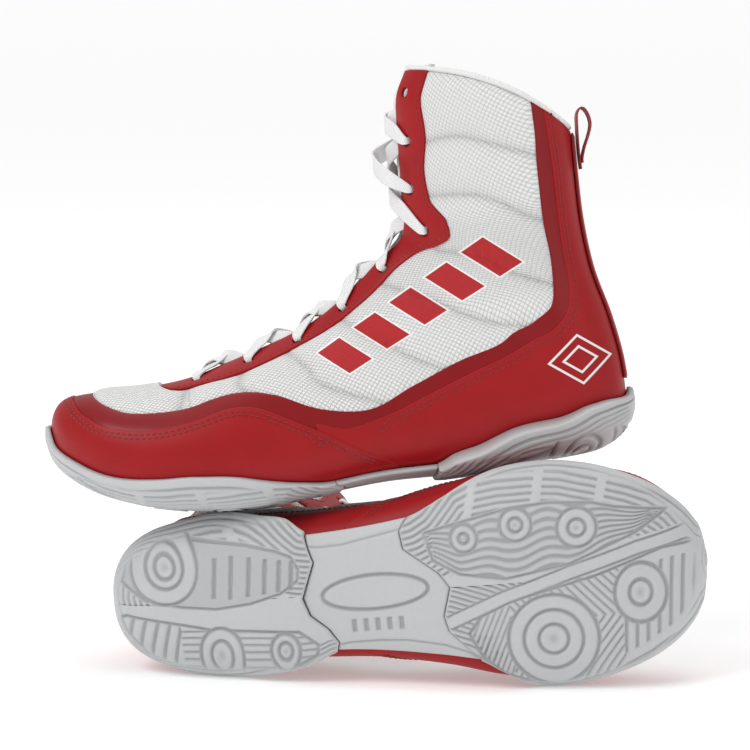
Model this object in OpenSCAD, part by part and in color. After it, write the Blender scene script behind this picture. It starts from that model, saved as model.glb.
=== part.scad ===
// A pair of high-top boxing boots. The right boot lies on its inner side and
// the left boot stands across it. Millimetres, +Z up, origin on the floor.
// Each boot is drawn in its own frame: X from heel to toe, Y outwards, Z up.

/* [Upper] */
// Thickness of the outer panels
panel_t = 1.8; // [1.2:0.1:2.4]
// Thickness of the collar foam
foam_t = 2.4; // [1.5:0.1:4]
// Thickness of the lining cloth
lining_t = 0.9; // [0.6:0.1:1.5]
// Thickness of the tongue
tongue_t = 4.8; // [3:0.2:7]
// Gap left between neighbouring pieces, in degrees of girth
seam = 0.35; // [0.2:0.05:1]

/* [Lace and webbing] */
// Width of the flat lace
lace_w = 8.5; // [6:0.5:11]
// Thickness of the flat lace
lace_t = 1.2; // [0.8:0.1:2]
// Radius of the punched lace holes
hole_r = 2.7; // [2.4:0.1:3.2]
// Width of the heel webbing
web_w = 20; // [14:1:26]
// Thickness of the heel webbing
web_t = 1.5; // [1:0.1:2.2]

/* [Sole] */
// Gap between the cup of the sole and the upper
cup_gap = 0.8; // [0.6:0.1:1.2]
// Thickness of the removable footbed
footbed_t = 3.4; // [2:0.2:5]
// Share of full sole thickness
sole_k = 1; // [0.8:0.05:1.2]

/* [Pose] */
// Heel-up pitch of the standing boot
left_pitch = 8.3; // [0:0.1:15]
// Lean of the standing boot away from its outer side
left_roll = 6; // [0:0.5:15]
// Rise of the lying boot towards its toe
right_rise = 5.4; // [0:0.1:8]
// Turn of the lying boot about the vertical
right_turn = 8; // [0:0.5:12]
// Roll of the lying boot about its own length
right_roll = 0.6; // [-5:0.1:10]
// Position of the standing boot's origin
left_pos = [136.1, -42.5, 109.8]; // [-400:1:400]
// Position of the lying boot's origin
right_pos = [-135.1, -84.2, 36.2]; // [-400:1:400]

/* [Hidden] */
$fn = 24;
foam_d = panel_t + 0.6;
lining_d = foam_d + foam_t + 0.3;

// The skin of the boot. Stations run from the toe over the instep, round the
// ankle and up the shaft. FLOOR and CREST are each station's two ends in X, Z.
FLOOR = [[296,50],[292,39],[283,30],[268,21],[247,13],[222,8],[195,5.5],[165,6],[130,7.5],[90,6],
  [50,9],[20,12],[6,24],[4,45],[7,70],[12.5,95],[14.5,120],[14,145],[13,166]];
CREST = [[296,50],[292,63],[284,69],[268,70],[247,68.5],[222,70],[200,76],[178,82.5],[155,91],[135,104],
  [119,117],[108.5,125],[105.5,134],[104.5,145],[103.5,156],[102.5,169],[101.5,183],[99.5,196],[93,208]];
// Half widths on the outer and inner side, and how far up each station is widest.
W_OUT = [0,19,32,43.5,50,53,51.5,46,40,37,35.5,34.5,34.5,35,35,35.5,36.5,37.5,38.5];
W_IN = [0,21,34,44.5,50.5,53,50,43,38,36,35,34.5,34.5,35,35,35.5,36.5,37.5,38.5];
WIDEST = [.5,.42,.38,.36,.36,.36,.36,.36,.34,.32,.32,.38,.44,.48,.5,.5,.5,.5,.5];
MIDDLE = [-2.5,-2.5,-2,-1,0,0,0,0,0,0,0,0,0,0,0,0,0,0,0];
// Squareness of the section below and above its widest line, and the bow of the collar.
LOW = [2.2,2.4,2.8,3.2,3.4,3.4,3.4,3.4,3.2,3,2.8,2.6,2.5,2.4,2.3,2.3,2.3,2.3,2.3];
HIGH = [2.2,2.2,2.3,2.3,2.2,2.1,2,1.9,1.9,1.9,2,2.1,2.2,2.3,2.3,2.3,2.3,2.3,2.3];
BOW = [0,0,0,0,0,0,0,0,0,0,0,0,0,0,0,1,3,5,7];

// Panel edges: station against share of the way from floor to crest.
FOX = [[2.2,1],[2.4,.86],[2.8,.73],[3.4,.66],[4.4,.65],[5.2,.68],[5.8,.69],[6.3,.65],[7,.48],[7.3,.39],[8,.14],[8.3,.05]];
REAR = [[7.3,.43],[7.8,.34],[8.3,.35],[9,.39],[10.2,.42],[11,.43],[11.8,.4],[12.6,.32],[13.4,.24],[14.2,.19],[15.4,.152],[16.6,.145],[18,.19]];
FILM = [[2.8,1],[3,.93],[3.4,.85],[4.1,.8],[5,.79],[5.5,.8],[6.2,.77],[6.8,.68],[7.5,.5],[8.1,.415],[9,.46],[10,.48],[11.2,.482],[12.3,.413],[13.2,.32],[14.2,.266],[15,.24],[17,.238],[18,.27]];
STAY = [[4.4,1],[4.7,.958],[5.2,.94],[6,.905],[6.7,.9],[7.6,.912],[9,.912],[10.8,.922],[11.5,.893],[12.3,.828],[13,.776],[13.5,.785],[13.8,.855],[14.7,.865],[16,.845],[17.3,.87],[18,.87]];
// Half width of the throat, and the girth angles of the lasting edge and sole rim.
THROAT = [[4.9,1.5],[5.5,6],[7,8],[8.6,6.8],[10,6.8],[12.4,12],[14,11.5],[16,12.5],[18.4,12]];
LAST = [[0,-30],[1.2,-42],[3,-50],[6,-54],[11,-56],[11.8,-66],[12.5,-88.5],[18,-88.5]];
RIM = [[0,84],[.35,80],[.8,10],[1.2,-12],[2.2,-16],[3,-18],[4.2,-11],[5,-9],[5.6,-15],[6,-27],[6.3,-38],[6.7,-50],[8.5,-50],[8.9,-37],[9.3,-33],[9.8,-27],[10.6,-32],[11.4,-40],[12,-58],[12.5,-90]];
// Thickness of the sole under the foot and at its walls, by station.
TREAD = [[0,3],[1,4],[2,4.5],[4,5],[5,5.5],[6,5.8],[7,4.6],[8,3.6],[8.5,5.2],[9,6],[10,6.5],[11,6.8],[12,5.5],[12.5,3.6]];
WALL = [[0,3],[1,3.2],[3,3.8],[5,4.5],[6,4.5],[7,3.5],[8.2,3.5],[8.7,6.5],[9,9],[9.6,10.4],[10,10.4],[10.6,9.6],[11,8],[12,5.4],[12.5,3.6]];
// Lace holes from the toe upwards: station and share of the way up. The top one is empty.
HOLES = [[5.2,.98],[6.43,.953],[7.54,.94],[8.65,.95],[9.92,.953],[12.4,.89],[13.78,.94],[15.52,.935],[17.18,.95]];

// Smooth curve through a list of values one station apart.
function blend(a,b,c,d,f) = b + 0.5*f*((c-a) + f*((2*a-5*b+4*c-d) + f*(3*(b-c)+d-a)));
function at(l,u) = let(n=len(l), i=max(0,min(n-2,floor(u)))) blend(l[max(i-1,0)], l[i], l[i+1], i+2<n ? l[i+2] : 2*l[n-1]-l[n-2], u-i);
function half(u,s) = s>0 ? at(W_OUT,u) : at(W_IN,u);
// Girth angle, -90 under the foot to 90 on the crest, for a share of the way up or a distance off centre.
function girth(u,a) = let(m=at(WIDEST,u)) a<m ? -asin(pow(1-a/m, at(LOW,u)/2)) : asin(pow(min(1,(a-m)/(1-m)), at(HIGH,u)/2));
function off(u,s,y) = acos(pow(min(1,y/half(u,s)), at(HIGH,u)/2));
function across(p) = max(0,cos(p));
function raw(u,p,s) = let(b=at(FLOOR,u), t=at(CREST,u), m=at(WIDEST,u), n=p<0?at(LOW,u):at(HIGH,u),
    q=sign(p)*pow(abs(sin(p)),2/n), a=q<0?m*(1+q):m+(1-m)*q, d=t-b, l=norm(d)+1e-6, w=at(BOW,u)*4*a*(1-a)/l)
  [b[0]+a*d[0]-w*d[1], at(MIDDLE,u)+s*half(u,s)*pow(across(p),2/n), b[1]+a*d[1]+w*d[0]];
function run(u,p,s) = let(v=raw(u+.05,p,s)-raw(u-.05,p,s)) v/norm(v);
function normal(u,p,s) = let(b=at(FLOOR,u), t=at(CREST,u), m=at(WIDEST,u), n=p<0?at(LOW,u):at(HIGH,u),
    q=pow(abs(sin(p)),2/n), a=p<0?m*(1-q):m+(1-m)*q, d=t-b, l=norm(d), h=(p<0?m:1-m)*l,
    w=at(BOW,u)*4*(1-2*a)/l, e=[d[0]-w*d[1],0,d[1]+w*d[0]]/l,
    fq=sign(p)*pow(q,n-1)/h, fy=pow(pow(across(p),2/n),n-1)/half(u,s),
    c=cross(run(u,p,s), e*fy-[0,s*fq,0]), v=c/norm(c), g=e*fq+[0,s*fy,0]) v*g<0 ? -v : v;
// A point of the boot at a depth below its skin; a negative depth is outside it.
function spot(u,p,s,d) = u<.05 ? [296-d,-2.5,50] : raw(u,p,s) - d*normal(u,p,s);

function steps(a,b,n) = [for(i=[0:n]) a+(b-a)*i/n];
// Triangles of one side of a shell; rows run up the girth, columns along the stations.
function ix(b,nk,i,k,p0,p1,nu) = b + i*nk + ((i==0&&p0)||(i==nu-1&&p1) ? 0 : k);
function four(a,b,c,d) = [[a,b,c],[a,c,d]];
function skin_faces(nu,nk,b,low,high,p0,p1,turn) = let(m=nu*nk,
    o=function(i,k) ix(b,nk,i,k,p0,p1,nu), n=function(i,k) ix(b+m,nk,i,k,p0,p1,nu),
    f=concat(
      [for(i=[0:nu-2],k=[0:nk-2]) each four(o(i,k),o(i+1,k),o(i+1,k+1),o(i,k+1))],
      [for(i=[0:nu-2],k=[0:nk-2]) each four(n(i,k),n(i,k+1),n(i+1,k+1),n(i+1,k))],
      [for(i=[0:nu-2]) if(!low[i]) each four(o(i+1,0),o(i,0),n(i,0),n(i+1,0))],
      [for(i=[0:nu-2]) if(!high[i]) each four(o(i,nk-1),o(i+1,nk-1),n(i+1,nk-1),n(i,nk-1))],
      [for(k=[0:nk-2]) each four(o(0,k),o(0,k+1),n(0,k+1),n(0,k))],
      [for(k=[0:nk-2]) each four(o(nu-1,k+1),o(nu-1,k),n(nu-1,k),n(nu-1,k+1))]))
  [for(t=f) if(t[0]!=t[1] && t[1]!=t[2] && t[0]!=t[2]) turn ? t : [t[2],t[1],t[0]]];
// A closed shell between two depths. rows(u,s) gives the girth angles, out and in
// give depths, where(u,p,s) can shift the station. Sides that meet on the centre
// line are joined there.
module shell(us, rows, out, in, sides=[1,-1], join=true, tip=false, tail=false, where=function(u,p,s) u) {
  nu=len(us); nk=len(rows(us[1],1));
  pts=[for(s=sides) each concat(
    [for(u=us) each let(r=rows(u,s)) [for(p=r) spot(where(u,p,s),p,s,out(u,p,s))]],
    [for(u=us) each let(r=rows(u,s)) [for(p=r) spot(where(u,p,s),p,s,in(u,p,s))]])];
  low=[for(i=[0:nu-2]) join && rows(us[i],1)[0]<=-90 && rows(us[i+1],1)[0]<=-90];
  high=[for(i=[0:nu-2]) join && rows(us[i],1)[nk-1]>=90 && rows(us[i+1],1)[nk-1]>=90];
  polyhedron(pts, [for(j=[0:len(sides)-1]) each skin_faces(nu,nk,j*2*nu*nk,low,high,tip,tail,sides[j]<0)], convexity=8);
}
function flat(d) = function(u,p,s) d;

// Station lists of the fore part and the rear part.
fore = [0.3,0.7,1.2,1.8,2.2,2.5,2.8,3.4,4,4.5,5];
rear = [5.05,5.6,6.2,6.8,7.3,7.7,8.1,8.5,9,9.5,10,10.5,11.1,11.7,12.3,12.9,13.5,14.1,15,16,17,18];
function pick(l,a,b) = [for(u=l) if(u>=a-1e-6 && u<=b+1e-6) u];
both = concat(fore, rear);

function last(u) = lookup(u,LAST);
function fox(u) = u<=2.2 ? 90 : girth(u,lookup(u,FOX));
function rear_edge(u) = girth(u,lookup(u,REAR));
function film(u) = u<=2.8 ? 90 : girth(u,lookup(u,FILM));
function fox_any(u) = u<7.3 ? fox(u) : rear_edge(u);
function stay(u) = u<=4.4 ? 90 : girth(u,lookup(u,STAY));
function lip(u,s) = off(u,s,lookup(u,THROAT));
function seam_low(u) = u<8.3 ? max(fox(u),last(u)+1) : last(u);

// ---- sole ----
function tread_d(u,p) = let(f=min(1,max(0,(p+72)/34))) -sole_k*(lookup(u,TREAD)*(1-f)+lookup(u,WALL)*f);
function rim_rows(u,s) = let(r=lookup(u,RIM)) concat([-90], steps(-90+(r+90)*.22, r, 6));
function split_front(p,s) = let(f=min(1,(p+90)/40)) s>0 ? 6.68+.52*f : 6.68-.5*f;
function split_back(p,s) = let(f=min(1,(p+90)/40)) s>0 ? 8.62-.12*f : 8.62-.22*f;
module sole_fore() shell([0,.35,.8,1.3,1.9,2.6,3.4,4.2,5,5.6,6.2,6.66], function(u,s) rim_rows(u,s),
  function(u,p,s) tread_d(u,p), flat(-cup_gap), tip=true,
  where=function(u,p,s) u<5 ? u : 5+(u-5)*(split_front(p,s)-.02-5)/1.66);
module sole_shank() shell([0,.25,.5,.75,1], function(u,s) [-90,-75,-64,-56,-50],
  function(u,p,s) -(p<-55 ? 3.9 : 3.2), flat(-cup_gap),
  where=function(u,p,s) let(a=split_front(p,s)+.03,b=split_back(p,s)-.03) a+(b-a)*u);
module sole_heel() shell([8.6,9,9.5,10,10.6,11.2,11.8,12.2,12.5], function(u,s) rim_rows(u,s),
  function(u,p,s) tread_d(u,p), flat(-cup_gap), tail=true,
  where=function(u,p,s) u>9.5 ? u : let(a=split_back(p,s)+.03) a+(u-8.6)*(9.5-a)/.9);
bed = concat([1.2,1.8],pick(fore,2.2,5),pick(rear,5.6,11.1),[11.5]);
module insole_board() shell(bed, function(u,s) steps(-90,last(u)-seam,3), flat(0.1), flat(panel_t));
module midsole() shell(bed, function(u,s) steps(-90,last(u)-seam-2,3), flat(foam_d), flat(foam_d+foam_t));
module footbed() shell(pick(bed,1.8,11.1), function(u,s) steps(-90,last(u)-9,3), flat(lining_d+.4), flat(lining_d+.4+footbed_t));

// ---- upper ----
module toe_guard() shell(concat(pick(both,.3,8.2)), function(u,s) steps(last(u)+seam, fox(u)-(u>2.2?seam:0), 4), flat(0), flat(panel_t));
module foxing(s) shell(concat([7.42],pick(rear,7.7,18)), function(u,t) steps(seam_low(u)+seam*(u<8.3?3:1), rear_edge(u)-seam, 3), flat(0), flat(panel_t), sides=[s], join=false);
module film_band() shell(pick(both,2.5,18), function(u,s) steps(fox_any(u)+seam, film(u)-(u>2.8?seam:0), 2), flat(.5), flat(panel_t));
module vamp_mesh() shell([2.83,3.4,4,4.4,4.6,5], function(u,s) u<2.9 ? steps(88.4,90,4) : steps(film(u)+seam, u>4.4?stay(u)-seam:90, 4), flat(.4), flat(panel_t));
module quarter_mesh(s) shell(rear, function(u,t) steps(film(u)+seam, stay(u)-seam, 5), flat(.4), flat(panel_t), sides=[s], join=false);
module eyestay(s) difference() {
  shell(concat([4.6,5],rear), function(u,t) [stay(u)+seam, lip(u,t)-(u<5?3:0)], flat(0), flat(panel_t), sides=[s], join=false);
  for(h=HOLES) let(p=girth(h[0],h[1]), n=normal(h[0],p,s)) translate(spot(h[0],p,s,4)) rotate([0,acos(n[2]),atan2(n[1],n[0])]) cylinder(h=8,r=hole_r);
}
function inner_rows(u) = concat(steps(u>12.4?-90:last(u)+seam, fox_any(u), 3), [film(u)], [for(i=[1:5]) film(u)+(stay(u)-film(u))*i/5]);
module quarter_lining(s) shell(rear, function(u,t) let(r=inner_rows(u)) [for(i=[0:len(r)-1]) i==len(r)-1 ? r[i]-seam : i==0 ? max(r[i],seam-90) : r[i]], flat(lining_d), flat(lining_d+lining_t), sides=[s], join=false);
module vamp_lining() shell(pick(fore,1.2,5), function(u,s) steps(last(u)+seam, u<4.45?90:stay(u)-seam, 7), flat(lining_d), flat(lining_d+lining_t));
module toe_puff() shell(pick(fore,.7,2.2), function(u,s) steps(last(u)+seam, 90, 4), flat(foam_d), flat(foam_d+1.4));
module heel_counter() shell(pick(rear,9.5,13.5), function(u,s) let(r=inner_rows(u)) [r[0],r[1],r[2],r[3]-1.2], flat(foam_d), flat(foam_d+1.8));
module collar_foam() shell(pick(rear,14.1,18), function(u,s) let(r=inner_rows(u)) [for(i=[0:len(r)-1]) i==len(r)-1 ? r[i]-seam-.5 : r[i]], flat(foam_d), flat(foam_d+foam_t));
module ankle_foam(s) shell(pick(rear,9.5,13.5), function(u,t) let(r=inner_rows(u)) [for(i=[3:len(r)-1]) i==3 ? r[3]+1.2 : i==len(r)-1 ? r[i]-seam-.5 : r[i]], flat(foam_d), flat(foam_d+foam_t), sides=[s], join=false);
module collar_binding() shell([18.03,18.09,18.15], function(u,s) concat([-90,-70], steps(-50,lip(18,s)-5,7)),
  function(u,p,s) u>18.1 ? .6 : -.4, function(u,p,s) lining_d+lining_t-(u>18.1?1:.3));
tongue_in = lining_d+lining_t+.7;
function tongue_out(u,p,s) = let(g=lookup(u,THROAT), n=at(HIGH,u), y=half(u,s)*pow(across(p),2/n), c=max(1,min(4.8,1+(6.4-u)*4))) min(tongue_in, c+(tongue_in-c)*pow(y/g,1.3));
module tongue() shell([5,5.3,5.8,6.4,7,7.7,8.5,9.2,10,10.7,11.5,12.3,13,13.8,14.6,15.5,16.5,17.5,18.3], function(u,s) let(g=lookup(u,THROAT)) [off(u,s,g*1.9),off(u,s,g*1.45),off(u,s,g),off(u,s,g*.66),off(u,s,g*.33),90],
  function(u,p,s) tongue_out(u,p,s), function(u,p,s) tongue_in+(u>18||u<5.2?tongue_t*.55:tongue_t));

// ---- webbing ----
module backstay() shell([12.7,13.2,13.8,14.4,15,15.7,16.4,17.2,17.9], function(u,s) let(q=-off(u,s,web_w/2*.98)) steps(-90,-90+(asin(pow(.5*web_w/half(u,s),at(LOW,u)/2))),3), flat(-.3-web_t), flat(-.3));
module pull_loop() rotate([90,0,0]) translate([0,0,-web_w/2]) linear_extrude(height=web_w) difference() {
  polygon([[11.4,145],[11,151],[10.7,160],[10.2,168],[9.8,173],[8.4,176.4],[6,177.4],[3.6,175.8],[2,171.5],[2,167],[3.8,162],[7,155],[9.4,149.6],[9.9,145]]);
  polygon([[9.7,155],[9.3,160],[8.7,168],[8.2,173],[7.4,175.3],[6,176],[4.8,175],[3.5,171],[3.5,167.3],[5.2,162.7],[8,156.6]]);
}

// ---- lace: a flat strip along a crossing route ----
function route_end(i) = i<7 ? HOLES[i+1] : [16.4,.945];
// One crossing from hole i on side s to the next hole up on the other side, lifted by k.
function crossing(i,s,k) = let(a=HOLES[i], b=route_end(i), pa=girth(a[0],a[1]), pb=girth(b[0],b[1]), um=(a[0]+b[0])/2,
    g=lookup(um,THROAT), ga=lookup(a[0]*.75+b[0]*.25,THROAT), gb=lookup(b[0],THROAT), out=(i==6&&s>0)?9:0)
  concat([
    [spot(a[0],pa,s,1),1.5,1.1, run(a[0],pa,s)],
    [spot(a[0]+.02,pa+2,s,-1.5),2.6,.8, run(a[0],pa,s)],
    [spot(a[0]*.78+b[0]*.22,off(a[0]*.78+b[0]*.22,s,ga*1.05),s,-1.6-out*.8),lace_w/2,lace_t/2, run(um,90,s)],
    [spot(um,90,1,-k-out),lace_w/2,lace_t/2, run(um,90,1)],
    [spot(um*.5+b[0]*.5,off(um*.5+b[0]*.5,-s,g*.5),-s,.7-out*.35-(k>3?.6:0)),lace_w/2,lace_t/2, run(um,90,1)],
    [spot(um*.2+b[0]*.8,off(um*.2+b[0]*.8,-s,gb*.98),-s,3.7),lace_w/2*.85,lace_t/2, run(b[0],90,1)]],
    i<7 ? [[spot(b[0],pb+(off(b[0],-s,gb)-pb)*.3,-s,3.9),2.8,.8, run(b[0],pb,-s)]] : [[spot(b[0]+.05,pb-3,-s,3.9),lace_w/2,lace_t/2, run(b[0],pb,-s)]]);
function half_route(s,k,i=0) = i>7 ? [] : concat(crossing(i, i%2==0 ? s : -s, k), half_route(s,k,i+1));
function bar() = let(h=HOLES[0], p=girth(h[0],h[1])) [[spot(h[0],p+(90-p)*.35,-1,3.6),2.8,.8,run(h[0],90,1)], [spot(h[0],90,1,3.6),3.4,.6,run(h[0],90,1)], [spot(h[0],p+(90-p)*.35,1,3.6),2.8,.8,run(h[0],90,1)]];
function turned(l) = [for(i=[len(l)-1:-1:0]) l[i]];
function unit(v) = v/norm(v);
module lace() {
  r=concat(turned(half_route(-1,3.6)), bar(), half_route(1,1.7));
  n=len(r);
  pts=[for(i=[0:n-1]) each let(t=unit(r[min(n-1,i+1)][0]-r[max(0,i-1)][0]), w=unit(r[i][3]-(r[i][3]*t)*t), m=cross(t,w), c=r[i][0])
    [c+w*r[i][1]+m*r[i][2], c-w*r[i][1]+m*r[i][2], c-w*r[i][1]-m*r[i][2], c+w*r[i][1]-m*r[i][2]]];
  polyhedron(pts, concat([[0,1,2],[0,2,3]], [for(i=[0:n-2],j=[0:3]) each let(a=i*4+j,b=i*4+(j+1)%4) [[a,a+4,b],[b,a+4,b+4]]], [[n*4-1,n*4-2,n*4-3],[n*4-1,n*4-3,n*4-4]]), convexity=10);
}

// ---- the two boots in place ----
module set_left() translate(left_pos) rotate([-left_roll,0,0]) rotate([0,-left_pitch,0]) rotate([0,0,180]) children();
module set_right() translate(right_pos) rotate([0,0,-right_turn]) rotate([0,-right_rise,0]) rotate([-right_roll,0,0]) rotate([-90,0,0]) mirror([0,1,0]) children();

red = [.62,.1,.11]; white = [.93,.93,.92]; sole_grey = [.86,.87,.87];
module left_outsole_forefoot() color(sole_grey) set_left() sole_fore();
module left_outsole_shank() color(sole_grey) set_left() sole_shank();
module left_outsole_heel() color(sole_grey) set_left() sole_heel();
module left_midsole() color(white) set_left() midsole();
module left_insole_board() color([.7,.6,.45]) set_left() insole_board();
module left_footbed() color([.2,.2,.21]) set_left() footbed();
module left_toe_guard() color(red) set_left() toe_guard();
module left_heel_foxing_outer() color(red) set_left() foxing(1);
module left_heel_foxing_inner() color(red) set_left() foxing(-1);
module left_film_band() color([.5,.05,.06]) set_left() film_band();
module left_vamp_mesh() color(white) set_left() vamp_mesh();
module left_quarter_mesh_outer() color(white) set_left() quarter_mesh(1);
module left_quarter_mesh_inner() color(white) set_left() quarter_mesh(-1);
module left_eyestay_outer() color(red) set_left() eyestay(1);
module left_eyestay_inner() color(red) set_left() eyestay(-1);
module left_tongue() color(white) set_left() tongue();
module left_lace() color([1,1,1]) set_left() lace();
module left_backstay() color([.5,.05,.06]) set_left() backstay();
module left_pull_loop() color([.5,.05,.06]) set_left() pull_loop();
module left_collar_binding() color(white) set_left() collar_binding();
module left_vamp_lining() color([.85,.85,.85]) set_left() vamp_lining();
module left_quarter_lining_outer() color([.85,.85,.85]) set_left() quarter_lining(1);
module left_quarter_lining_inner() color([.85,.85,.85]) set_left() quarter_lining(-1);
module left_collar_foam() color([.95,.9,.7]) set_left() collar_foam();
module left_ankle_foam_outer() color([.95,.9,.7]) set_left() ankle_foam(1);
module left_ankle_foam_inner() color([.95,.9,.7]) set_left() ankle_foam(-1);
module left_heel_counter() color([.6,.6,.6]) set_left() heel_counter();
module left_toe_puff() color([.6,.6,.6]) set_left() toe_puff();
module right_outsole_forefoot() color(sole_grey) set_right() sole_fore();
module right_outsole_shank() color(sole_grey) set_right() sole_shank();
module right_outsole_heel() color(sole_grey) set_right() sole_heel();
module right_midsole() color(white) set_right() midsole();
module right_insole_board() color([.7,.6,.45]) set_right() insole_board();
module right_footbed() color([.2,.2,.21]) set_right() footbed();
module right_toe_guard() color(red) set_right() toe_guard();
module right_heel_foxing_outer() color(red) set_right() foxing(1);
module right_heel_foxing_inner() color(red) set_right() foxing(-1);
module right_film_band() color([.5,.05,.06]) set_right() film_band();
module right_vamp_mesh() color(white) set_right() vamp_mesh();
module right_quarter_mesh_outer() color(white) set_right() quarter_mesh(1);
module right_quarter_mesh_inner() color(white) set_right() quarter_mesh(-1);
module right_eyestay_outer() color(red) set_right() eyestay(1);
module right_eyestay_inner() color(red) set_right() eyestay(-1);
module right_tongue() color(white) set_right() tongue();
module right_lace() color([1,1,1]) set_right() lace();
module right_backstay() color([.5,.05,.06]) set_right() backstay();
module right_pull_loop() color([.5,.05,.06]) set_right() pull_loop();
module right_collar_binding() color(white) set_right() collar_binding();
module right_vamp_lining() color([.85,.85,.85]) set_right() vamp_lining();
module right_quarter_lining_outer() color([.85,.85,.85]) set_right() quarter_lining(1);
module right_quarter_lining_inner() color([.85,.85,.85]) set_right() quarter_lining(-1);
module right_collar_foam() color([.95,.9,.7]) set_right() collar_foam();
module right_ankle_foam_outer() color([.95,.9,.7]) set_right() ankle_foam(1);
module right_ankle_foam_inner() color([.95,.9,.7]) set_right() ankle_foam(-1);
module right_heel_counter() color([.6,.6,.6]) set_right() heel_counter();
module right_toe_puff() color([.6,.6,.6]) set_right() toe_puff();

left_outsole_forefoot();
left_outsole_shank();
left_outsole_heel();
left_midsole();
left_insole_board();
left_footbed();
left_toe_guard();
left_heel_foxing_outer();
left_heel_foxing_inner();
left_film_band();
left_vamp_mesh();
left_quarter_mesh_outer();
left_quarter_mesh_inner();
left_eyestay_outer();
left_eyestay_inner();
left_tongue();
left_lace();
left_backstay();
left_pull_loop();
left_collar_binding();
left_vamp_lining();
left_quarter_lining_outer();
left_quarter_lining_inner();
left_collar_foam();
left_ankle_foam_outer();
left_ankle_foam_inner();
left_heel_counter();
left_toe_puff();
right_outsole_forefoot();
right_outsole_shank();
right_outsole_heel();
right_midsole();
right_insole_board();
right_footbed();
right_toe_guard();
right_heel_foxing_outer();
right_heel_foxing_inner();
right_film_band();
right_vamp_mesh();
right_quarter_mesh_outer();
right_quarter_mesh_inner();
right_eyestay_outer();
right_eyestay_inner();
right_tongue();
right_lace();
right_backstay();
right_pull_loop();
right_collar_binding();
right_vamp_lining();
right_quarter_lining_outer();
right_quarter_lining_inner();
right_collar_foam();
right_ankle_foam_outer();
right_ankle_foam_inner();
right_heel_counter();
right_toe_puff();
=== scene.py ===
import bpy, bmesh, math
import numpy as np
from mathutils import Matrix, Vector

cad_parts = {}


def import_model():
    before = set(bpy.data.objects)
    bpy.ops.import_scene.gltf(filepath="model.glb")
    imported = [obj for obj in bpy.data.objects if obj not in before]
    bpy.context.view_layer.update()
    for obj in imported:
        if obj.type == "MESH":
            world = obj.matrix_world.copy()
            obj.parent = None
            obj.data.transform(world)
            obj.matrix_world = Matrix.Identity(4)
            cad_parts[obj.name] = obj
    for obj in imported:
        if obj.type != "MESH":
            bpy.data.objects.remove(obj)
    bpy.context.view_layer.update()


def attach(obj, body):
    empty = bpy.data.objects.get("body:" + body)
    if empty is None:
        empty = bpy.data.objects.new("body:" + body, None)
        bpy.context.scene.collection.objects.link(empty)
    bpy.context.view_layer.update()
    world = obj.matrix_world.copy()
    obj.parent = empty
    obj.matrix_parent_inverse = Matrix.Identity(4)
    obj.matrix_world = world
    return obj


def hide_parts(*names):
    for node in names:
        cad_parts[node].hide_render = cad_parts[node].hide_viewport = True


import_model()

# Camera: long studio lens, level with the standing boot's ankle, looking along +Y
# and eight degrees down, so that both boots fill the square frame.
camera = bpy.data.objects.new("camera", bpy.data.cameras.new("camera"))
bpy.context.scene.collection.objects.link(camera)
aim, tilt, reach = Vector((0.0005, -0.0512, 0.1501)), math.radians(8), 1.9
camera.location = aim + reach * Vector((0, -math.cos(tilt), math.sin(tilt)))
camera.rotation_euler = (math.pi / 2 - tilt, 0, 0)
camera.data.sensor_width, camera.data.lens = 36, 181.2
bpy.context.scene.camera = camera

# The last: the foot-shaped form both boots are made over. It is not a piece of the
# boot; its skin fixes where every panel lies. Stations run toe, instep, ankle, collar.
FLOOR = np.array([[296,50],[292,39],[283,30],[268,21],[247,13],[222,8],[195,5.5],[165,6],[130,7.5],[90,6],
    [50,9],[20,12],[6,24],[4,45],[7,70],[12.5,95],[14.5,120],[14,145],[13,166]], float)
CREST = np.array([[296,50],[292,63],[284,69],[268,70],[247,68.5],[222,70],[200,76],[178,82.5],[155,91],[135,104],
    [119,117],[108.5,125],[105.5,134],[104.5,145],[103.5,156],[102.5,169],[101.5,183],[99.5,196],[93,208]], float)
W_OUT = np.array([0,19,32,43.5,50,53,51.5,46,40,37,35.5,34.5,34.5,35,35,35.5,36.5,37.5,38.5])
W_IN = np.array([0,21,34,44.5,50.5,53,50,43,38,36,35,34.5,34.5,35,35,35.5,36.5,37.5,38.5])
WIDEST = np.array([.5,.42,.38,.36,.36,.36,.36,.36,.34,.32,.32,.38,.44,.48,.5,.5,.5,.5,.5])
MIDDLE = np.array([-2.5,-2.5,-2,-1] + [0]*15, float)
LOW = np.array([2.2,2.4,2.8,3.2,3.4,3.4,3.4,3.4,3.2,3,2.8,2.6,2.5,2.4,2.3,2.3,2.3,2.3,2.3])
HIGH = np.array([2.2,2.2,2.3,2.3,2.2,2.1,2,1.9,1.9,1.9,2,2.1,2.2,2.3,2.3,2.3,2.3,2.3,2.3])
BOW = np.array([0]*15 + [1,3,5,7], float)


def along(l, u):
    """Catmull-Rom through l, one knot per station: b + f/2 (c-a + f(2a-5b+4c-d + f(3(b-c)+d-a)))."""
    i = np.clip(np.floor(u).astype(int), 0, len(l) - 2)
    f = (u - i)[..., None] if l.ndim > 1 else u - i
    l = np.concatenate([l, 2*l[-1:] - l[-2:-1]])
    a, b, c, d = (l[np.clip(i + k, 0, len(l) - 1)] for k in (-1, 0, 1, 2))
    return b + .5*f*((c - a) + f*((2*a - 5*b + 4*c - d) + f*(3*(b - c) + d - a)))


def half(u, s):
    """Half width of station u on side s, 1 outer or -1 inner."""
    return along(W_OUT if s > 0 else W_IN, u)


def unit(v):
    """Vectors scaled to length one."""
    return v/(np.linalg.norm(v, axis=-1, keepdims=True) + 1e-12)


def run_along(points):
    """Distance of each point along a row of points."""
    return np.concatenate([[0], np.cumsum(np.linalg.norm(np.diff(points, axis=0), axis=1))])


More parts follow.
